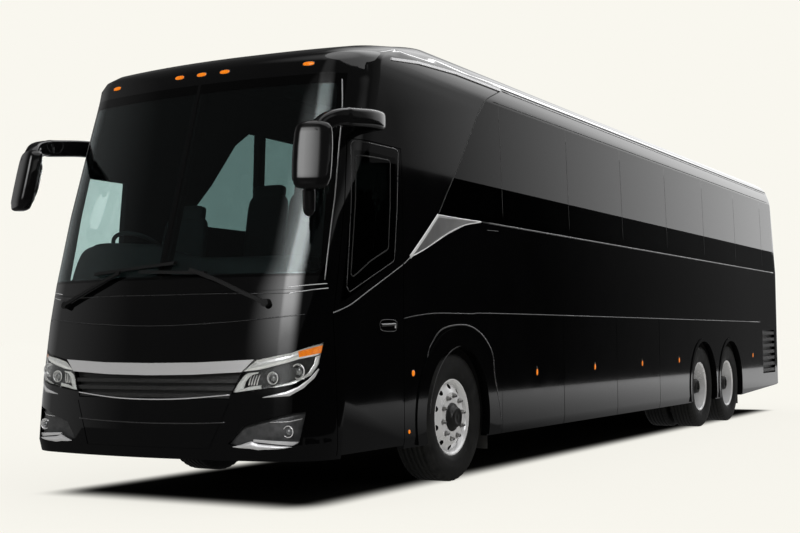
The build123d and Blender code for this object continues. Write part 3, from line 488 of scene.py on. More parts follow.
def lining_mask(group, place):
    """1 on the panels' inner faces, whose normals point towards the cabin's middle line."""
    x, y, z = split(group, place["Object"])
    nearest = maths(group, "MINIMUM", maths(group, "MAXIMUM", y, cabin_front), cabin_back)
    parts = [x, maths(group, "SUBTRACT", y, nearest), maths(group, "SUBTRACT", z, cabin_middle_z)]
    outward = [product(group, *pair) for pair in zip(parts, split(group, place["Normal"]))]
    total = maths(group, "ADD", maths(group, "ADD", outward[0], outward[1]), outward[2])
    return maths(group, "LESS_THAN", total, 0.0)


# Inside, the panels are lined with dark cloth; full Metallic takes the sheen of paint off it
cloth = {"Base Color": (0.006, 0.0065, 0.0065, 1.0), "Roughness": (0.95, 0.95, 0.95, 1.0)}
tree, shader, lining = add_mask(body_paint, "cabin_lining", lining_mask, cloth)
feed(tree, shader["Coat Weight"], ranged(tree, lining, 0.0, 1.0, 0.35, 0.0, "LINEAR"))
feed(tree, shader["Metallic"], lining)

hung = ["entrance_door", "engine_door"] + [f"luggage_door_{word}_{bay}" for word, _ in sides for bay in range(1, 5)]
for name in ["side_wall_left", "side_wall_right", "roof", "roof_front_cap", "front_mask", "front_bumper", "rear_wall",
             *hung]:
    smooth_panel(name, name if name in hung else "body", "body_paint", body_paint)

# -------------------- windows
# Bonded safety glass, flush with the skin: clear green windscreens, near-black panes along the left side, whose
# darkness is painted shade of the cabin behind, and lighter tinted ones on the right side. Each pane is the CAD glass,
# shaded with the body form.


def glass_material(name, *tint):
    """Tinted glass: a plain transmission with a tint that a faint film of dust varies."""
    dusty = [0.96 * value for value in tint]
    return finish(name, tint, dusty, (0.0, 0.004), 5.0, Transmission_Weight=1.0, IOR=1.45)


def border_mask(group, place):
    """1 where the windscreen's black printed border is, outside a rounded trapezium of clear glass."""
    across, _, height = split(group, place["Object"])
    half = ranged(group, height, clear_low, clear_high, clear_half_low, clear_half_high, "LINEAR")
    beside = maths(group, "SUBTRACT", maths(group, "ABSOLUTE", across), half)
    beyond = maths(group, "MAXIMUM", maths(group, "SUBTRACT", height, clear_high),
                   maths(group, "SUBTRACT", clear_low, height))
    outer = [maths(group, "MAXIMUM", maths(group, "ADD", value, clear_corner), 0.0) for value in (beside, beyond)]
    reach = maths(group, "SQRT", maths(group, "ADD", *(product(group, value, value) for value in outer)))
    return ranged(group, reach, clear_corner, clear_corner + border_soft)


clear_low, clear_high, clear_half_low, clear_half_high, clear_corner = 1.56, 2.912, 1.176, 1.104, 0.035
border_soft = 0.005
screen_glass = glass_material("screen_glass", 0.62, 0.78, 0.78)
add_mask(screen_glass, "screen_border", border_mask, {"Base Color": (0.002, 0.002, 0.002, 1.0)})
# Near-black glass: its darkness is painted shade of the cabin seen through it
shade_dark_glass = glass_material("shade_dark_glass", 0.006, 0.007, 0.007)
smoked_glass = glass_material("smoked_glass", 0.18, 0.25, 0.253)
pale_glass = glass_material("pale_glass", 0.76, 0.86, 0.87)


def keep_faces(piece, wanted):
    """Deletes the faces whose centres `wanted` turns down."""
    edit_mesh(piece.data, lambda work: bmesh.ops.delete(
        work, geom=[face for face in work.faces if not wanted(face.calc_center_median())], context="FACES"))


tail_glass_y, driver_glass_y = 6.33, -4.9
window_parts = [("side_windows_left", shade_dark_glass, lambda c: c.x > 1.0 and c.y < tail_glass_y),
                ("side_windows_right", smoked_glass, lambda c: c.x < -1.0 and driver_glass_y < c.y < tail_glass_y),
                ("driver_window", pale_glass, lambda c: c.x < -1.0 and c.y < driver_glass_y),
                ("rear_window", shade_dark_glass, lambda c: abs(c.x) <= 1.0 or c.y >= tail_glass_y)]
for name, material, wanted in window_parts:
    panes = merged_copy("body_windows", name)
    keep_faces(panes, wanted)
    shade_with_body(panes, material)
    place_piece(panes, "body", "tinted_glass", "body_windows")
smooth_panel("windscreens", "body", "clear_glass", screen_glass)
smooth_panel("entrance_door_glass", "entrance_door", "tinted_glass", shade_dark_glass)

# -------------------- seams, mouldings and bright trim
# Rubber seals in the panel joints, a bright belt moulding and rolled creases whose highlights are painted on grey
# beads, and anodised trim clipped to the skin.
# Each follows the body form, so it sits on the panel that carries it.

# For each face of the bus: its axis, and places inside and outside the skin along it
faces = {"front": (1, -5.2, -6.8), "rear": (1, 6.0, 6.8), "left": (0, 0.6, 1.4), "right": (0, -0.6, -1.4)}
halvings = 34


def on_skin(face, across, height, depth):
    """Points `depth` inside the body form, found by halving along Y (front, rear) or X (sides)."""
    axis, near, away = faces[face]
    across, height, depth = np.broadcast_arrays(across, height, depth)
    inner, outer = np.full(across.shape, near), np.full(across.shape, away)
    values = level_values(height)
    for _ in range(halvings):
        middle = (inner + outer) / 2
        x, y = (middle, across) if axis == 0 else (across, middle)
        beyond = plan_distance(x, y, *values) > -depth
        outer = np.where(beyond, middle, outer)
        inner = np.where(beyond, inner, middle)
    x, y = (middle, across) if axis == 0 else (across, middle)
    return stacked(x, y, height)


def smooth_path(points, count):
    """A cubic through the points (Catmull-Rom), sampled evenly in its parameter."""
    points = np.array(points, float)
    ends = np.vstack([2 * points[0] - points[1], points, 2 * points[-1] - points[-2]])
    place = np.linspace(0, len(points) - 1, count)
    k = np.minimum(place.astype(int), len(points) - 2)
    t = (place - k)[:, None]
    a, b, c, d = ends[k], ends[k + 1], ends[k + 2], ends[k + 3]
    return 0.5 * (2 * b + (c - a) * t + (2 * a - 5 * b + 4 * c - d) * t ** 2 + (3 * b - a - 3 * c + d) * t ** 3)


def even_path(points, count):
    """Straight runs between the points, sampled evenly along their length."""
    points = np.array(points, float)
    along = np.concatenate([[0], np.cumsum(np.linalg.norm(np.diff(points, axis=0), axis=1))])
    place = np.linspace(0, along[-1], count)
    return stacked(*(np.interp(place, along, column) for column in points.T))


def thicken(piece, thick, offset=-1.0):
    """Gives a surface a thickness, inwards or (offset 1) outwards."""
    wall = piece.modifiers.new("wall", "SOLIDIFY")
    wall.thickness, wall.offset = thick, offset
    return piece


def skin_grid(name, face, flat, depth, material, thick):
    """A grid of (across, height) points laid on the skin at its depths, faced outwards and thickened inwards."""
    points = on_skin(face, flat[..., 0], flat[..., 1], depth)
    row, column = points.shape[0] // 2, points.shape[1] // 2
    turn = np.cross(points[row, column] - points[row - 1, column], points[row, column] - points[row, column - 1])
    if turn @ body_normal(points[row, column][None])[0] < 0:
        points = points[:, ::-1]
    return thicken(add_surface(name, points, material), thick)


def skin_band(name, face, upper, lower, material, depth, bulge, body, slot, *replaced, thick=0.002, count=33):
    """The strip between two edges, raised along its middle by `bulge` as half a sine, on its body."""
    share = np.linspace(0, 1, 9)[None, :]
    top, bottom = even_path(upper, count), even_path(lower, count)
    flat = top[:, None] * (1 - share[..., None]) + bottom[:, None] * share[..., None]
    piece = skin_grid(name, face, flat, depth - bulge * np.sin(np.pi * share), material, thick)
    place_piece(piece, body, slot, *replaced)


def skin_line(name, face, points, width, rise, material, count=65, path=smooth_path, body="body"):
    """A half-round bead of a width and rise along a line on the skin, its ends run out to nothing, on its body."""
    line = path(points, count)
    way = unit(np.gradient(line, axis=0))
    square = stacked(-way[:, 1], way[:, 0])
    across = np.array([-0.5, -0.38, 0.0, 0.38, 0.5])
    flat = line[:, None] + square[:, None] * (across * width)[None, :, None]
    fade = np.minimum(1.0, np.minimum(np.arange(count), np.arange(count)[::-1]) / 2.0 + 0.2)[:, None]
    sunk = 0.0004
    depth = sunk - (rise + sunk) * fade * np.array([0.0, 0.72, 1.0, 0.72, 0.0])
    place_piece(skin_grid(name, face, flat, depth, material, 0.0015), body,
                "rubber" if material is seal_rubber else "bright_metal")


def mirrored(points, side):
    """Front-view points for either side."""
    return [(side * x, z) for x, z in points]


seal_rubber = finish("seal_rubber", 0.004, 0.01, (0.45, 0.6), 40.0, 0.0004)
# Crease paint: a grey lighter than the black body paint, on beads along creases, seams and lips, is a painted highlight
# of the light those edges catch
crease_highlight_paint = finish("crease_highlight_paint", (0.05, 0.05, 0.052), (0.07, 0.07, 0.072), (0.25, 0.35), 6.0, Metallic=0.6,
                      Coat_Weight=0.5)
# Satin alloy for the bright trim, lamp brows, fog lips and key boss; its fine lines at the grille's foot, the
# windscreen's lower corners and the fog pocket's edge are painted highlights
satin_alloy_and_highlight = finish("satin_alloy_and_highlight", (0.6, 0.6, 0.615), (0.57, 0.57, 0.585), (0.24, 0.27), 1.5, Metallic=0.35,
                     Coat_Weight=0.3)
bright_chrome = finish("bright_chrome", (0.88, 0.88, 0.89), (0.78, 0.78, 0.79), (0.08, 0.16), 11.0, Metallic=0.45,
                       Coat_Weight=0.3)
# Grey beads that paint the highlights on the ends of the windscreen seals and along the cheek crease
highlight_line_alloy = finish("highlight_line_alloy", (0.22, 0.22, 0.225), (0.3, 0.3, 0.31), (0.25, 0.35), 3.0, Metallic=0.5,
                    Coat_Weight=0.3)
# Dark anodised alloy for the quarter trim's face; its broad lighter patches are painted reflections
mottled_reflection_trim = finish("mottled_reflection_trim", (0.06, 0.06, 0.062), (0.24, 0.24, 0.245), (0.25, 0.32), 1.3, Metallic=0.4,
                    Coat_Weight=0.3)
dress(satin_alloy_and_highlight, "bright_trim")

tail_pane_y = 6.28
# The lines in crease paint are painted highlights along the belt, the cove, the creases and the flare
# Name, points along the line, width, rise, finish
side_lines = [
    ("belt_moulding", [(-3.9, 2.066), (tail_pane_y, 2.066)], 0.013, 0.0022, crease_highlight_paint),
    ("pane_head_seal", [(-3.6, 3.116), (tail_pane_y - 0.12, 3.116)], 0.01, 0.0012, seal_rubber),
    ("cove_highlight", [(-3.3, 3.254), (6.34, 3.254)], 0.014, 0.003, crease_highlight_paint),
    ("gutter_seal", [(-3.3, 3.279), (6.4, 3.279)], 0.022, 0.002, seal_rubber),
    ("quarter_seam", [(-4.67, 2.068), (-4.549, 2.206), (-4.445, 2.319), (-4.285, 2.494), (-4.118, 2.692),
                      (-3.946, 2.896), (-3.867, 2.991), (-3.71, 3.112), (-3.378, 3.235)], 0.011, 0.0012, seal_rubber),
    ("waist_crease", [(-5.234, 1.262), (-5.025, 1.286), (-4.703, 1.307), (-4.139, 1.311), (-2.935, 1.321),
                      (5.45, 1.321)], 0.007, 0.0014, crease_highlight_paint),
    ("front_arch_flare", [(-4.919, 0.658), (-4.862, 0.992), (-4.79, 1.085), (-4.664, 1.172), (-4.47, 1.212),
                          (-4.187, 1.217), (-3.958, 1.16), (-3.79, 1.059), (-3.712, 0.96), (-3.69, 0.81),
                          (-3.644, 0.69), (-3.589, 0.557), (-3.565, 0.43)], 0.012, 0.0025, crease_highlight_paint),
    ("keyhole_line", [(-3.8, 2.006), (-3.575, 2.012)], 0.004, 0.001, crease_highlight_paint),
]
for side, _ in sides:
    for name, points, width, rise, material in side_lines:
        skin_line(f"{name}_{side}", side, points, width, rise, material)

# Rolled lips round the wheel arches, from a middle, a radius and two angles, their highlights painted grey, and upright
# seals between the panes
arch_lips = [("front", -4.255, 0.47, 0.59, 8, 172), ("drive", 2.47, 0.5, 0.592, 12, 158),
             ("tag", 3.74, 0.5, 0.592, 22, 168)]
pane_joints = (-3.476, -1.96, -0.441, 1.085, 2.615, 4.132, 5.6)
for side, _ in sides:
    for word, middle_y, middle_z, radius, first, last in arch_lips:
        sweep = np.radians(np.linspace(first, last, 15))
        points = stacked(middle_y + radius * np.cos(sweep), middle_z + radius * np.sin(sweep))
        skin_line(f"{word}_arch_lip_{side}", side, points, 0.009, 0.002, crease_highlight_paint)
    for number, joint in enumerate(pane_joints, 1):
        skin_line(f"pane_seal_{number}_{side}", side, [(joint, z) for z in (2.085, 2.6, 3.108)], 0.01, 0.0006,
                  seal_rubber, 9)

# Creases and fine bright lines across the nose, beads whose lighter paint is a painted highlight: the hood's, the one
# over the hood's top seam, the grille's foot
front_lines = [
    ("hood_crease", [(-1.15, 1.285), (-0.6, 1.24), (0.0, 1.217), (0.6, 1.236), (1.15, 1.283)], 0.005, crease_highlight_paint),
    ("screen_foot_seam", [(-1.2, 1.452), (-1.0, 1.428), (-0.5, 1.434), (0.0, 1.43), (0.5, 1.43), (1.0, 1.424),
                          (1.2, 1.452)], 0.006, crease_highlight_paint),
    ("grille_foot_line", [(-0.664, 0.754), (-0.309, 0.724), (0.0, 0.716), (0.309, 0.724), (0.664, 0.752)], 0.008,
     satin_alloy_and_highlight),
    ("bumper_crease", [(-0.64, 0.572), (-0.412, 0.563), (0.0, 0.556), (0.412, 0.561), (0.64, 0.57)], 0.008,
     crease_highlight_paint),
]
for word, side in sides:
    for place, points in (("upper", [(1.002, 1.463), (1.217, 1.487)]), ("lower", [(1.015, 1.422), (1.224, 1.457)])):
        front_lines.append((f"screen_corner_line_{place}_{word}", mirrored(points, side), 0.006, satin_alloy_and_highlight))
for name, points, width, material in front_lines:
    skin_line(name, "front", points, width, 0.0014, material)

# A painted highlight: the lit edge of the seal down each end of the windscreens, drawn as a grey bead
screen_end = [
    (-5.8, 2.94), (-5.85, 2.712), (-5.929, 2.42), (-5.996, 2.169), (-6.062, 1.924), (-6.115, 1.717), (-6.166, 1.513)]
for side, _ in sides:
    skin_line(f"screen_end_line_{side}", side, screen_end, 0.006, 0.0014, highlight_line_alloy)

# The entrance door's window frame, its corners eased, and the plated door handle in its cup; the frame line, grip and
# cup rim are grey beads whose paint is a painted highlight
door_frame = [
    (-6.01, 1.47), (-5.935, 1.95), (-5.849, 2.47), (-5.83, 2.488), (-5.3, 2.492), (-5.276, 2.478), (-5.32, 2.08),
    (-5.366, 1.69), (-5.385, 1.668), (-5.7, 1.546), (-5.99, 1.432), (-6.01, 1.47)]
door_pane = [
    (-5.964, 1.56), (-5.896, 1.98), (-5.832, 2.37), (-5.815, 2.388), (-5.42, 2.398), (-5.4, 2.384), (-5.425, 2.08),
    (-5.452, 1.768), (-5.47, 1.748), (-5.7, 1.66), (-5.945, 1.535), (-5.964, 1.56)]
skin_line("door_frame_line", "left", door_frame, 0.006, 0.0014, crease_highlight_paint, 121, even_path, "entrance_door")
skin_line("door_pane_seal", "left", door_pane, 0.01, 0.0014, seal_rubber, 121, even_path, "entrance_door")
skin_band("door_handle_grip", "left", [(-5.575, 1.224), (-5.365, 1.23)], [(-5.565, 1.2), (-5.372, 1.206)],
          crease_highlight_paint, -0.002, 0.012, "entrance_door", "bright_metal")
handle_cup = [
    (-5.58, 1.205), (-5.57, 1.238), (-5.52, 1.25), (-5.4, 1.25), (-5.345, 1.238), (-5.335, 1.21), (-5.35, 1.178),
    (-5.4, 1.168), (-5.52, 1.17), (-5.57, 1.182), (-5.58, 1.205)]
skin_line("door_handle_cup_rim", "left", handle_cup, 0.005, 0.0014, crease_highlight_paint, 97, body="entrance_door")
skin_line("door_key_boss", "left", [(-5.362, 1.19), (-5.362, 1.228)], 0.016, 0.006, satin_alloy_and_highlight, 17,
          body="entrance_door")

# The bright line from the head lamp corner up over the entrance door to the quarter trim, in two lengths: a grey bead
# painted as the highlight along the crease
cheek_lines = [("door_left", "left", "entrance_door", [(-6.136, 1.292), (-5.94, 1.362), (-5.741, 1.446), (-5.5, 1.545),
                                          (-5.244, 1.652)]),
               ("quarter_left", "left", "body", [(-5.23, 1.658), (-5.18, 1.684), (-5.134, 1.71)]),
               ("right", "right", "body", [(-6.136, 1.292), (-5.741, 1.446), (-5.134, 1.71)])]
for name, side, body, points in cheek_lines:
    skin_line(f"cheek_line_{name}", side, points, 0.007, 0.0018, highlight_line_alloy, body=body)

# The bright raised rim of the quarter trim: a broad front edge, a fine top and a fine lower curve
trim_edges = [("front", [(-5.13, 1.713), (-4.905, 1.88), (-4.672, 2.062)], 0.03, even_path),
              ("top", [(-4.69, 2.062), (-4.3, 2.062), (-3.905, 2.066)], 0.009, even_path),
              ("foot", [(-5.12, 1.716), (-4.883, 1.793), (-4.517, 1.932), (-4.226, 2.016), (-3.915, 2.064)], 0.009,
               smooth_path)]
for side, _ in sides:
    # The quarter trim's face, mottled with painted reflections
    skin_band(f"quarter_trim_face_{side}", side, [(-5.1, 1.736), (-4.676, 2.058), (-3.93, 2.06)],
              [(-5.1, 1.73), (-4.883, 1.795), (-4.517, 1.932), (-4.226, 2.014), (-3.93, 2.058)],
              mottled_reflection_trim, -0.0042, 0.0, "body", "bright_metal", thick=0.001)
    for word, points, width, path in trim_edges:
        skin_line(f"quarter_trim_{word}_edge_{side}", side, points, width, 0.006, bright_chrome, 49, path)

# -------------------- lamps
# Sealed head lamps with a clear cover over a charcoal housing: two projectors in polished rings, a white
# position lamp, an amber indicator and plated strips. Fog, marker and tail lamps are moulded lenses.
lamp_cover = finish("lamp_cover", (0.97, 0.98, 0.98), (0.93, 0.94, 0.94), (0.0, 0.02), 8.0, Transmission_Weight=1.0,
                    IOR=1.35)
lamp_charcoal = finish("lamp_charcoal", (0.02, 0.021, 0.022), (0.045, 0.045, 0.047), (0.3, 0.4), 25.0, 0.001)
lamp_plating = finish("lamp_plating", (0.92, 0.92, 0.93), (0.8, 0.8, 0.81), (0.12, 0.24), 30.0, 0.0008, Metallic=0.4)
lamp_white = finish("lamp_white", (0.86, 0.87, 0.88), (0.7, 0.71, 0.72), (0.3, 0.45), 50.0, 0.0006, Coat_Weight=0.6)
amber_lens = finish("amber_lens", (0.95, 0.27, 0.008), (0.8, 0.16, 0.004), (0.1, 0.2), 60.0, 0.001,
                    Emission_Color=(1.0, 0.26, 0.01, 1.0), Emission_Strength=0.22)
red_lens = finish("red_lens", (0.36, 0.008, 0.008), (0.2, 0.004, 0.004), (0.08, 0.2), 60.0, 0.001, Coat_Weight=1.0)


# Edges of each part in front view (x, z), upper then lower, and its depth, bulge and finish
lamp_top = [(0.741, 0.906), (0.828, 0.98), (0.957, 1.009), (1.071, 1.031), (1.143, 1.061), (1.232, 1.098)]
lamp_foot = [(0.679, 0.759), (0.879, 0.783), (1.01, 0.797), (1.09, 0.814), (1.18, 0.874), (1.217, 0.952)]
lamp_parts = [
    ("housing", lamp_top, lamp_foot, 0.036, 0.0, lamp_charcoal),
    ("upper_strip", [(0.746, 0.908), (0.828, 0.976), (0.957, 1.004), (1.06, 1.027), (1.143, 1.056), (1.229, 1.086)],
     [(0.748, 0.905), (0.863, 0.917), (1.042, 0.961), (1.112, 0.986), (1.18, 1.002), (1.225, 1.022)], 0.01, 0.005,
     lamp_plating),
    ("indicator", [(1.106, 1.035), (1.168, 1.056), (1.226, 1.079)], [(1.113, 0.997), (1.17, 1.011), (1.222, 1.027)],
     0.0065, 0.002, amber_lens),
    ("outer_hook", [(1.217, 1.012), (1.212, 0.954), (1.187, 0.895), (1.146, 0.847), (1.081, 0.82), (0.953, 0.797),
                    (0.889, 0.789)],
     [(1.189, 1.0), (1.183, 0.95), (1.16, 0.895), (1.119, 0.858), (1.064, 0.835), (0.952, 0.809), (0.888, 0.801)],
     0.012, 0.005, lamp_plating),
    ("position_lamp", [(0.683, 0.764), (0.712, 0.826), (0.75, 0.877), (0.786, 0.897), (0.856, 0.903)],
     [(0.757, 0.795), (0.77, 0.84), (0.792, 0.868), (0.814, 0.884), (0.852, 0.891)], 0.01, 0.004, lamp_white),
    ("brow", [(0.904, 0.739), (1.054, 0.775), (1.122, 0.806), (1.173, 0.855), (1.213, 0.924)],
     [(0.9, 0.734), (1.079, 0.747), (1.15, 0.796), (1.201, 0.864), (1.216, 0.919)], -0.0006, 0.003, satin_alloy_and_highlight),
    ("fog_bezel", [(0.668, 0.43), (0.709, 0.507), (0.771, 0.549), (1.008, 0.617), (1.168, 0.648)],
     [(0.672, 0.426), (0.704, 0.405), (0.886, 0.385), (1.107, 0.412), (1.146, 0.436)], 0.03, 0.004, lamp_charcoal),
    ("fog_lip", [(0.71, 0.418), (0.758, 0.427), (0.833, 0.452), (0.883, 0.436), (0.994, 0.427), (1.105, 0.419)],
     [(0.704, 0.409), (0.76, 0.399), (0.814, 0.392), (0.953, 0.39), (1.053, 0.402), (1.105, 0.416)], 0.004, 0.006,
     satin_alloy_and_highlight),
    # The fog pocket's edge line is a painted highlight
    ("fog_edge_line", [(0.945, 0.577), (1.073, 0.583), (1.139, 0.6)], [(0.945, 0.572), (1.073, 0.576), (1.139, 0.594)],
     0.026, 0.002, satin_alloy_and_highlight),
    ("position_foot", [(0.755, 0.793), (0.8, 0.806), (0.882, 0.817)], [(0.684, 0.764), (0.76, 0.778), (0.883, 0.796)],
     0.01, 0.003, lamp_white),
]


def bowl_grid(centre, along, radius, rounds=48):
    """Rings about the Y axis: places back along +Y and their radii."""
    angle = circle(rounds)[:, None]
    return turned(np.array(along), np.array(radius), angle, centre[[1, 0, 2]])[..., [1, 0, 2]]


def projector(name, centre, radius):
    """A polished ring (a torus), a fluted bowl behind it and a glass ball lens in the bowl."""
    small, tube = circle(10), radius * 0.085
    ring = bowl_grid(centre, -tube * np.sin(small), radius * 0.93 + tube * np.cos(small))
    bowl = bowl_grid(centre, (0.0, 0.012, 0.02, 0.022), [radius * share for share in (0.9, 0.8, 0.62, 0.05)])
    lens = bowl_grid(centre, (0.018, 0.01, 0.002, -0.003, -0.005),
                     [radius * share for share in (0.6, 0.58, 0.46, 0.26, 0.02)])
    for part, grid, material, closed in (("ring", ring, bright_chrome, True), ("bowl", bowl, lamp_plating, False),
                                         ("lens", lens, projector_glass, False)):
        place_piece(add_surface(f"{name}_{part}", grid, material, True, closed), "body", "lamp_glass")


projector_glass = finish("projector_glass", (0.1, 0.105, 0.11), (0.16, 0.165, 0.17), (0.02, 0.06), 20.0,
                         Coat_Weight=1.0, Specular_IOR_Level=1.0)
# Name, x, z, radius, depth of its rim
projectors = [("dipped_beam", 0.95, 0.862, 0.043, 0.02), ("main_beam", 1.102, 0.906, 0.052, 0.024),
              ("fog_lamp", 1.07, 0.514, 0.04, 0.016)]
rib_count, rib_first, rib_pitch = 4, 0.79, 0.019
for word, side in sides:
    parts = [(name, mirrored(upper, side), mirrored(lower, side), material, depth, bulge)
             for name, upper, lower, depth, bulge, material in lamp_parts]
    for rib in range(rib_count):
        start = rib_first + rib_pitch * rib
        parts.append((f"rib_{rib + 1}", mirrored([(start + 0.008, 0.884), (start + 0.014, 0.886)], side),
                      mirrored([(start - 0.012, 0.812), (start - 0.002, 0.813)], side), lamp_plating, 0.022, 0.004))
    for name, upper, lower, material, depth, bulge in parts:
        skin_band(f"head_lamp_{name}_{word}", "front", upper, lower, material, depth, bulge, "body",
                  "amber_lens" if material is amber_lens else "lamp_glass")
    for name, x, z, radius, depth in projectors:
        projector(f"{name}_{word}", on_skin("front", side * x, z, depth), radius)
    skin_band(f"head_lamp_cover_{word}", "front", mirrored(lamp_top, side), mirrored(lamp_foot, side), lamp_cover,
              0.0004, 0.0, "body", "lamp_glass", "front_lamps", count=49)

# Amber markers: domed ovals in dark mounts along the sides, and five wider ones over the windscreen
side_markers = [
    (-5.169, 0.439, 0.016, 0.016), (-5.1, 0.862, 0.024, 0.024), (-2.795, 0.812, 0.019, 0.032),
    (-1.345, 0.826, 0.019, 0.032), (0.1, 0.832, 0.019, 0.032), (1.442, 0.842, 0.019, 0.032),
    (4.923, 0.85, 0.019, 0.032)]
roof_markers = [(0.0, 3.064), (0.207, 3.064), (-0.207, 3.064), (0.882, 3.064), (-0.882, 3.064)]


def eased(value, power):
    """A power of a value, with the value's sign."""
    return np.sign(value) * np.abs(value) ** power


def dome(name, face, across, height, wide, high, rise, material, body, slot, *replaced):
    """An oval dome on the skin: half widths eased to a squared oval, its rise that of a half ellipse."""
    reach, turn = np.linspace(0.02, 1, 7)[:, None], np.linspace(0, 2 * np.pi, 28)[None, :]
    flat = stacked(across + wide * reach * eased(np.cos(turn), 0.8), height + high * reach * eased(np.sin(turn), 0.8))
    piece = skin_grid(name, face, flat, 0.001 - rise * np.sqrt(1 - reach ** 2), material, 0.002)
    place_piece(piece, body, slot, *replaced)


markers = [(word, *place) for word, _ in sides for place in side_markers]
markers += [("front", x, z, 0.046, 0.016) for x, z in roof_markers]
bay_edges = (-3.54, -2.155, -0.699, 0.71, 1.837)
for number, (face, across, height, wide, high) in enumerate(markers, 1):
    # The markers of the luggage bays are screwed to the bays' doors and swing with them
    bay = np.searchsorted(bay_edges, across)
    body = f"luggage_door_{face}_{bay}" if face != "front" and 0 < bay < len(bay_edges) else "body"
    up = 0.008 if face != "front" and high > 0.03 else 0.0
    dome(f"marker_mount_{number}", face, across, height + up, wide + 0.005, high + 0.005 + up, 0.004, seal_rubber, body,
         "rubber")
    dome(f"marker_lens_{number}", face, across, height, wide, high, 0.0085, amber_lens, body, "amber_lens",
         "marker_lamps")
dress(red_lens, "tail_lamps")

# The tail: a reversing and a direction lamp in each cluster, a high stop lamp, louvres and a blank plate on the
# engine door, and the seal round the rear window
clear_lens = finish("clear_lens", (0.55, 0.55, 0.56), (0.45, 0.45, 0.46), (0.08, 0.2), 60.0, 0.001, Coat_Weight=1.0)
plate_white = finish("plate_white", (0.72, 0.72, 0.7), (0.66, 0.66, 0.64), (0.35, 0.5), 20.0)
# Name, body, slot, ends across, height from and to, finish
tail_bands = [(f"tail_{word}_lens_{hand}", "body", slot, (side * 1.026, side * 1.15), low, high, material)
              for hand, side in sides
              for word, slot, low, high, material in (("direction", "amber_lens", 1.352, 1.412, amber_lens),
                                                      ("reversing", "lamp_glass", 1.208, 1.252, clear_lens))]
tail_bands += [("high_stop_lamp", "body", "lamp_glass", (-0.24, 0.24), 3.02, 3.05, red_lens),
               ("blank_plate", "engine_door", "bright_metal", (-0.26, 0.26), 0.69, 0.802, plate_white)]
for number in range(1, 8):
    foot = 1.0 + 0.055 * number
    tail_bands.append((f"engine_door_louvre_{number}", "engine_door", "rubber", (-0.62, 0.62), foot, foot + 0.026,
                       seal_rubber))
tail_proud = 0.0004
for name, body, slot, ends, low, high, material in tail_bands:
    upper, lower = ([(x, z) for x in ends] for z in (high, low))
    skin_band(name, "rear", upper, lower, material, -tail_proud, tail_proud, body, slot)
pane_x, pane_foot, pane_head, corner = 0.97, 2.14, 2.95, 0.06
rear_seal = [(-pane_x + corner, pane_foot), (pane_x - corner, pane_foot), (pane_x, pane_foot + corner),
             (pane_x, pane_head - corner), (pane_x - corner, pane_head), (corner - pane_x, pane_head),
             (-pane_x, pane_head - corner), (-pane_x, pane_foot + corner), (corner - pane_x, pane_foot)]
# The tail's creases in crease paint are painted highlights
rear_lines = [("rear_window_seal", rear_seal, 0.014, seal_rubber),
              ("tail_crease", [(-1.13, 1.64), (0.0, 1.628), (1.13, 1.64)], 0.008, crease_highlight_paint),
              ("tail_foot_crease", [(-1.13, 0.505), (0.0, 0.497), (1.13, 0.505)], 0.008, crease_highlight_paint)]
for name, points, width, material in rear_lines:
    skin_line(name, "rear", points, width, 0.0012, material, 121, even_path)

# -------------------- grilles
# Black moulded slats, clipped into the nose and into the side vents over the engine bay. The wipers' black arms
# are bolted under the windscreen, and rubber mud flaps hang behind the wheels.
black_plastic = finish("black_plastic", 0.012, 0.022, (0.3, 0.45), 50.0, 0.0006)
wiper_black = finish("wiper_black", 0.003, 0.006, (0.5, 0.6), 50.0, Specular_IOR_Level=0.2)
dress(black_plastic, "grilles")
dress(wiper_black, "wipers")
mud_rubber = finish("mud_rubber", 0.012, (0.03, 0.028, 0.026), (0.6, 0.8), 20.0, 0.001)
dress(mud_rubber, "mudflaps")

# -------------------- mirrors
# Black moulded mirror heads hang from wide tubular arms that are bolted above the windscreen's corners.
# Each head has a flat glass towards the driver. The left one carries a small kerb mirror underneath.
gloss_plastic = finish("gloss_plastic", 0.004, 0.007, (0.12, 0.2), 12.0, Coat_Weight=1.0)
dress(gloss_plastic, "mirrors")
mirror_black = finish("mirror_black", (0.003, 0.003, 0.0032), (0.004, 0.004, 0.0042), (0.07, 0.1), 3.0, Coat_Weight=0.4,
                      Coat_Roughness=0.05, Specular_IOR_Level=0.22)
mirror_silver = finish("mirror_silver", (0.86, 0.88, 0.88), (0.8, 0.82, 0.82), (0.01, 0.03), 3.0, Metallic=1.0)


def swept_tube(path, wide, high, power=4.0, corners=24):
    """Rounded-rectangle sections (a superellipse of `power`) along a path: half widths level, half heights upright."""
    way = unit(np.gradient(path, axis=0))
    level = stacked(-way[:, 1], way[:, 0], 0.0)
    span = np.linalg.norm(level, axis=1, keepdims=True)
    reference = level[0] / span[0]
    level = np.where(span > 0.35, level / np.maximum(span, 1e-6), reference[None])
    level = unit(level - (level * way).sum(axis=1, keepdims=True) * way)
    upright = np.cross(way, level)
    angle = circle(corners)
    return (path[:, None] + level[:, None] * (wide[:, None] * eased(np.cos(angle), 2 / power))[..., None]
            + upright[:, None] * (high[:, None] * eased(np.sin(angle), 2 / power))[..., None])


def face_outwards(piece):
    """Turns a closed mesh's faces outwards."""
    edit_mesh(piece.data, lambda work: bmesh.ops.recalc_face_normals(work, faces=work.faces))
    return piece


def closed_tube(name, points, material):
    """A tube whose two ends are drawn in to a point at the middle of the end section."""
    middle = points.mean(axis=1, keepdims=True)
    drawn_in = 0.002
    first = middle[:1] + (points[:1] - middle[:1]) * drawn_in
    last = middle[-1:] + (points[-1:] - middle[-1:]) * drawn_in
    return face_outwards(add_surface(name, np.concatenate([first, points, last]), material, False, True))


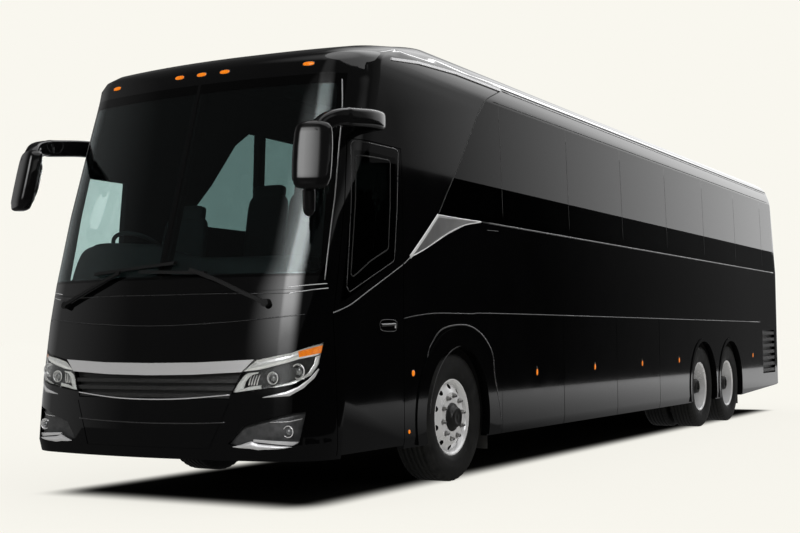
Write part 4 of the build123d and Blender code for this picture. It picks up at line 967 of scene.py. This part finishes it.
# Height up the head, half width, half depth: from the foot's rounding past its lip to the crown under the arm
head_sections = np.array([
    (-0.23, 0.034, 0.02), (-0.226, 0.074, 0.04), (-0.214, 0.102, 0.053), (-0.19, 0.116, 0.058), (-0.176, 0.119, 0.06),
    (-0.172, 0.124, 0.063), (-0.15, 0.128, 0.065), (-0.06, 0.132, 0.066), (0.06, 0.132, 0.066), (0.15, 0.127, 0.065),
    (0.19, 0.119, 0.062), (0.21, 0.104, 0.056), (0.222, 0.08, 0.047), (0.229, 0.05, 0.034)])
arm_route = [
    (1.262, -5.56, 2.652), (1.318, -5.63, 2.65), (1.34, -5.8, 2.64), (1.345, -6.04, 2.612), (1.338, -6.17, 2.596),
    (1.316, -6.27, 2.566), (1.288, -6.335, 2.518), (1.268, -6.368, 2.46)]
head_middle = np.array((1.272, -6.413, 2.317))
head_turn = math.radians(27)
lean_in, lean_back = 0.068, 0.2


def from_head(wide, deep, high):
    """Points of a head's own axes set in place: turned towards the driver, and leaning in and back as they rise."""
    x = wide * math.cos(head_turn) - deep * math.sin(head_turn) - lean_in * high
    y = wide * math.sin(head_turn) + deep * math.cos(head_turn) + lean_back * high
    return stacked(x, y, high) + head_middle


share, bends = np.linspace(0, 1, 57), (0, 0.12, 0.5, 0.52, 0.86, 1)
arm = swept_tube(smooth_path(arm_route, 57), np.interp(share, bends, (0.034, 0.048, 0.05, 0.045, 0.054, 0.075)),
                 np.interp(share, bends, (0.058, 0.064, 0.064, 0.059, 0.056, 0.05)))
rows = even_path(head_sections, 45)
angle = circle(40)
head = from_head(rows[:, 1:2] * eased(np.cos(angle), 0.62), rows[:, 2:3] * eased(np.sin(angle), 0.62), rows[:, :1])
pane_u, pane_v = np.meshgrid(np.linspace(-1, 1, 13), np.linspace(-1, 1, 21), indexing="ij")
glass_wide, glass_high, glass_deep, glass_crown = 0.108, 0.168, 0.0668, 0.002
pane = from_head(glass_wide * pane_u * np.sqrt(1 - 0.5 * pane_v ** 4), glass_deep - glass_crown * pane_u ** 2,
                 0.005 + glass_high * pane_v * np.sqrt(1 - 0.5 * pane_u ** 4))
for word, side in sides:
    flip = np.array((side, 1, 1))
    shell = closed_tube(f"mirror_head_{word}", head * flip, mirror_black)
    tube = closed_tube(f"mirror_arm_{word}", arm * flip, mirror_black)
    glass = add_surface(f"mirror_glass_{word}", (pane * flip)[::-int(side)], mirror_silver)
    place_piece(tube, "body", "gloss_plastic")
    place_piece(thicken(glass, 0.004, 1.0), "body", "bright_metal")
    place_piece(shell, "body", "gloss_plastic", "mirrors")

# The kerb mirror's height, half width and half depth
kerb_rows = even_path([(-0.1, 0.008, 0.008), (-0.092, 0.028, 0.02), (-0.062, 0.043, 0.028), (0.0, 0.046, 0.03),
                       (0.07, 0.046, 0.03), (0.086, 0.02, 0.016), (0.18, 0.014, 0.014)], 33)
angle = circle(24)
kerb_middle = np.array((1.236, -6.405, 2.018))
kerb = stacked(kerb_rows[:, 1:2] * np.cos(angle), kerb_rows[:, 2:3] * np.sin(angle), kerb_rows[:, :1]) + kerb_middle
place_piece(closed_tube("kerb_mirror_left", kerb, mirror_black), "body", "gloss_plastic")

# -------------------- seats
# Twenty-four pairs of high-backed coach seats in dark fabric, and the driver's seat, each a crowned cushion,
# a reclined back with a head roll, and a steel frame that is bolted to the deck.
seat_weave = finish("seat_weave", (0.01, 0.012, 0.013), (0.018, 0.02, 0.021), (0.8, 0.95), 220.0, 0.0012,
                    Sheen_Weight=0.04, Specular_IOR_Level=0.1)
frame_steel = finish("frame_steel", 0.03, 0.06, (0.4, 0.55), 30.0, 0.0006, Metallic=0.5)


def cushion_grid(half, power=(0.32, 0.42), rounds=20, rows=14, pinch=0.03):
    """A crowned pad round the origin: a superellipsoid whose sides pull in between its corners."""
    turn = circle(rounds)[None, :]
    rise = np.linspace(-np.pi / 2 + 0.001, np.pi / 2 - 0.001, rows)[:, None]
    ring = eased(np.cos(rise), power[0])
    x = half[0] * ring * eased(np.cos(turn), power[1])
    y = half[1] * ring * eased(np.sin(turn), power[1])
    z = half[2] * eased(np.sin(rise), power[0])
    pull = 1 - pinch * (np.cos(2 * turn) ** 2)
    return stacked(x * pull, y * pull, z)


def tilted(points, lean, place):
    """Leans points back about X, then sets them at a place."""
    y = points[..., 1] * math.cos(lean) + points[..., 2] * math.sin(lean)
    z = -points[..., 1] * math.sin(lean) + points[..., 2] * math.cos(lean)
    return stacked(points[..., 0], y, z) + np.array(place)


seat_rows, seat_pitch, first_seat_y = 12, 0.78, -4.3
seat_aisle, seat_outer, deck_z = 0.28, 1.18, 1.38
seat_half = (seat_outer - seat_aisle) / 4
back_lean = math.radians(10.5)
passenger = [(side * (seat_aisle + seat_half * place), first_seat_y + row * seat_pitch, deck_z)
             for side in (1, -1) for row in range(seat_rows) for place in (1, 3)]
driver = [(-0.75, -5.75, 1.05)]
# Part, half sizes for a passenger seat, lean, place from the seat's origin, fill
seat_parts = [("cushions", (seat_half - 0.008, 0.235, 0.062), -0.06, (0, 0.245, 0.398), 0.7),
              ("backs", (seat_half - 0.01, 0.044, 0.33), back_lean, (0, 0.532, 0.735), 0.7),
              ("head_rolls", (seat_half - 0.055, 0.04, 0.075), back_lean, (0, 0.598, 1.075), 0.8)]
for part, half, lean, place, fill in seat_parts:
    for group, places in (("seat", passenger), ("driver_seat", driver)):
        copies = tilted(cushion_grid(half), lean, place)[None] + np.array(places)[:, None, None, :]
        pads = face_outwards(add_surface(f"{group}_{part}", copies, seat_weave, False, True))
        place_piece(pads, "body", "seat_fabric", "seats")

# A leg of bent steel strip under each seat
leg_path = smooth_path([(0, 0.225, 0.002), (0, 0.225, 0.12), (0, 0.2, 0.24), (0, 0.13, 0.325), (0, 0.05, 0.332)], 17)
leg = swept_tube(leg_path[:, [1, 0, 2]], np.full(17, 0.035), np.full(17, 0.014), corners=12)[..., [1, 0, 2]]
legs = add_surface("seat_legs", leg[None] + np.array(passenger + driver)[:, None, None, :], frame_steel, False, True)
place_piece(legs, "body", "chassis_paint")

# -------------------- dashboard and steering wheel
# A moulded dash cover in matt charcoal, clipped on the dash and humped over the instruments, and a padded
# four-spoke wheel on its column.
dash_plastic = finish("dash_plastic", (0.01, 0.011, 0.012), (0.016, 0.017, 0.018), (0.6, 0.75), 60.0, 0.001,
                      Specular_IOR_Level=0.25)
dress(dash_plastic, "dashboard")
wheel_middle, wheel_lean = np.array((-0.75, -5.72, 1.8)), math.radians(35)
wheel_radius, grip_radius, stitch_deep, stitches = 0.23, 0.0155, 0.0012, 24
turn, grip = circle(72)[:, None], circle(14)[None, :]
out = wheel_radius + (grip_radius - stitch_deep * np.cos(stitches * turn) ** 8) * np.cos(grip)
rim = stacked(out * np.cos(turn), out * np.sin(turn), grip_radius * np.sin(grip))
grip_rim = add_surface("steering_wheel_grip", tilted(rim, wheel_lean, wheel_middle), black_plastic, True, True)
place_piece(grip_rim, "body", "dash_plastic")
# Crest of the dash cover: place across, height; it stands higher over the driver's instruments
dash_crest = np.array([
    (-1.135, 1.7), (-1.075, 1.8), (-0.995, 1.832), (-0.888, 1.852), (-0.593, 1.838), (-0.325, 1.812), (-0.138, 1.752),
    (0.05, 1.712), (0.5, 1.7), (0.9, 1.692), (0.955, 1.64)])
crest = smooth_path(dash_crest, 81)
across, height = crest[:, :1], crest[:, 1:]
rise = np.linspace(0, 1, 15)[None, :]
dash_foot_z, dash_crest_y = 1.497, -5.985
front_edge = on_skin("front", across[:, 0], 1.5, 0.1)[:, 1:2]
level = dash_foot_z + (height - dash_foot_z) * np.sin(np.pi / 2 * rise) ** 1.3
cover = stacked(across, front_edge + (dash_crest_y - front_edge) * rise, level)
back = stacked(across, (-5.966, -5.957, -5.956), np.hstack([height - 0.004, height - 0.02, 0 * height + dash_foot_z]))
dash_cover = add_surface("dash_cover", np.concatenate([cover, back], axis=1)[:, ::-1], dash_plastic)
place_piece(thicken(dash_cover, 0.004), "body", "dash_plastic")

# -------------------- studio and camera
# A pale floor and surround in soft light. Dark and grey cards that only reflections see stand round it,
# as black flags do round a glossy black vehicle.
cream = (0.947, 0.93, 0.863, 1.0)
world = bpy.data.worlds.new("pale_surround")
world.use_nodes = True
bpy.context.scene.world = world
tree = world.node_tree
path = tree.nodes.new("ShaderNodeLightPath").outputs
east, north, up = split(tree, tree.nodes.new("ShaderNodeTexCoord").outputs["Generated"])
# Behind the bus the surround is bright, and it darkens towards its sides and its nose
rearward = product(tree, ranged(tree, maths(tree, "ABSOLUTE", east), 0.2, 0.47, 1.42, 0.07, "LINEAR"),
                   ranged(tree, north, 0.25, 0.6))
# A tall soft panel on the bus's left, which its rounded corner mirrors, and a faint glow on its right
panel = product(tree, ranged(tree, east, 0.8, 0.93, 0.0, 0.55), ranged(tree, up, 0.55, 0.3))
glow_share = ranged(tree, east, -0.55, -1.0, kind="LINEAR")
glow = product(tree, glow_share, glow_share, 0.4)
# A tall strip light ahead of the bus, which the windscreen's left edge and the mask mirror
bearing = maths(tree, "DIVIDE", east, maths(tree, "MAXIMUM", product(tree, north, -1.0), 0.05))
strip = product(tree, product(tree, ranged(tree, bearing, -0.36, -0.06), ranged(tree, bearing, 0.66, 0.16)),
                product(tree, ranged(tree, up, 0.14, 0.5, 0.1, 7.5), ranged(tree, up, 0.74, 0.6, 0.04, 1.0)))
overhead = ranged(tree, up, 0.86, 0.99, 0.055, 0.6)
mirrored_light = rearward
for part in (panel, glow, strip, overhead):
    mirrored_light = maths(tree, "MAXIMUM", mirrored_light, part)
# Light that any surface mirrored on its way, the inner faces of the glass too, comes from the cards
by_mirror = maths(tree, "GREATER_THAN", path["Glossy Depth"], 0.5)
surround = mixed(tree, by_mirror, (0.74, 0.74, 0.74, 1.0), mirrored_light)
seen = product(tree, maths(tree, "MAXIMUM", path["Is Camera Ray"], path["Is Transmission Ray"]),
               maths(tree, "SUBTRACT", 1.0, by_mirror))
feed(tree, tree.nodes["Background"].inputs["Color"], mixed(tree, seen, surround, cream))

# The floor shines in the background's colour; over the bus's footprint a shadow is painted into its glow and its
# colour, dark in the middle and soft at the edges
floor_paint, tree, shader = new_material("pale_floor", Emission_Strength=1.0, Roughness=0.9, Specular_IOR_Level=0.0)
east, north, up = split(tree, tree.nodes.new("ShaderNodeTexCoord").outputs["Object"])
beside = ranged(tree, maths(tree, "ABSOLUTE", east), 1.27, 0.86)
along = product(tree, ranged(tree, north, -6.5, -5.95), ranged(tree, north, 6.62, 6.25))
outside_painted_shadow = maths(tree, "SUBTRACT", 1.0, product(tree, beside, along))
outside_painted_shadow = product(tree, outside_painted_shadow, outside_painted_shadow)
own_share = 0.86
# Painted shadow: over the footprint the glow goes to black and the colour to a tenth
for socket, share, dim in (("Emission Color", own_share, 0.0), ("Base Color", 1 - own_share, 0.1)):
    tint = np.array((*(share * value for value in cream[:3]), 1.0))
    under = (0.0, 0.0, 0.0, 1.0) if dim == 0 else tuple(dim * tint)
    feed(tree, shader[socket], mixed(tree, outside_painted_shadow, under, tuple(tint)))
floor_reach = 400.0
around = ((-1, -1), (1, -1), (1, 1), (-1, 1))
floor = add_faces("floor", np.array([(x * floor_reach, y * floor_reach, 0.0) for x, y in around]),
                  np.array([(0, 1, 2, 3)]), floor_paint, False)
floor.visible_glossy = False


def add_card(name, corners, start, end, low, high):
    """A four-cornered card that only reflections see, its light rising along Y from `low` to `high`."""
    material, tree, shader = new_material(name, Base_Color=(0, 0, 0, 1), Specular_IOR_Level=0.0, Emission_Strength=1.0)
    place = split(tree, tree.nodes.new("ShaderNodeTexCoord").outputs["Object"])
    feed(tree, shader["Emission Color"], ranged(tree, place[1], start, end, low, high, "LINEAR"))
    card = add_faces(name, np.array(corners), np.array([(0, 1, 2, 3)]), material, False)
    for sight in ("visible_camera", "visible_diffuse", "visible_shadow", "visible_transmission"):
        setattr(card, sight, False)


card_x, card_high = 8.2, 4.8
card_start, card_end, card_lift = -20, 60, 0.002
add_card("dark_card", [(card_x, card_start, 0), (card_x, card_end, 0), (card_x, card_end, card_high),
                       (card_x, card_start, card_high)], 14.0, 32.0, 0.002, 0.052)
add_card("floor_card", [(x * card_end, y * card_end, card_lift) for x, y in around], -1.0, 19.0, 0.055, 0.74)

sun_data = bpy.data.lights.new("soft_overhead", "SUN")
sun_data.energy = 0.95
sun_data.angle = math.radians(70)
add_object("soft_overhead", sun_data).rotation_euler = (math.radians(-12), math.radians(16), 0.0)

yaw, pitch, roll = math.radians(29.1), math.radians(3.23), math.radians(-0.46)
ahead = Vector((-math.sin(yaw) * math.cos(pitch), math.cos(yaw) * math.cos(pitch), math.sin(pitch)))
right = Vector((math.cos(yaw), math.sin(yaw), 0.0))
above = right.cross(ahead)
across = math.cos(roll) * right + math.sin(roll) * above
upright = -math.sin(roll) * right + math.cos(roll) * above
camera_data = bpy.data.cameras.new("camera")
camera_data.sensor_width = 36.0
camera_data.lens = 36.0 * 1293.0 / 800.0
camera_data.clip_end = 2000.0
camera = add_object("camera", camera_data)
camera.matrix_world = Matrix((across, upright, -ahead)).transposed().to_4x4()
camera.location = (5.84, -13.46, 1.11)
bpy.context.scene.camera = camera
bpy.context.scene.view_settings.view_transform = "Standard"
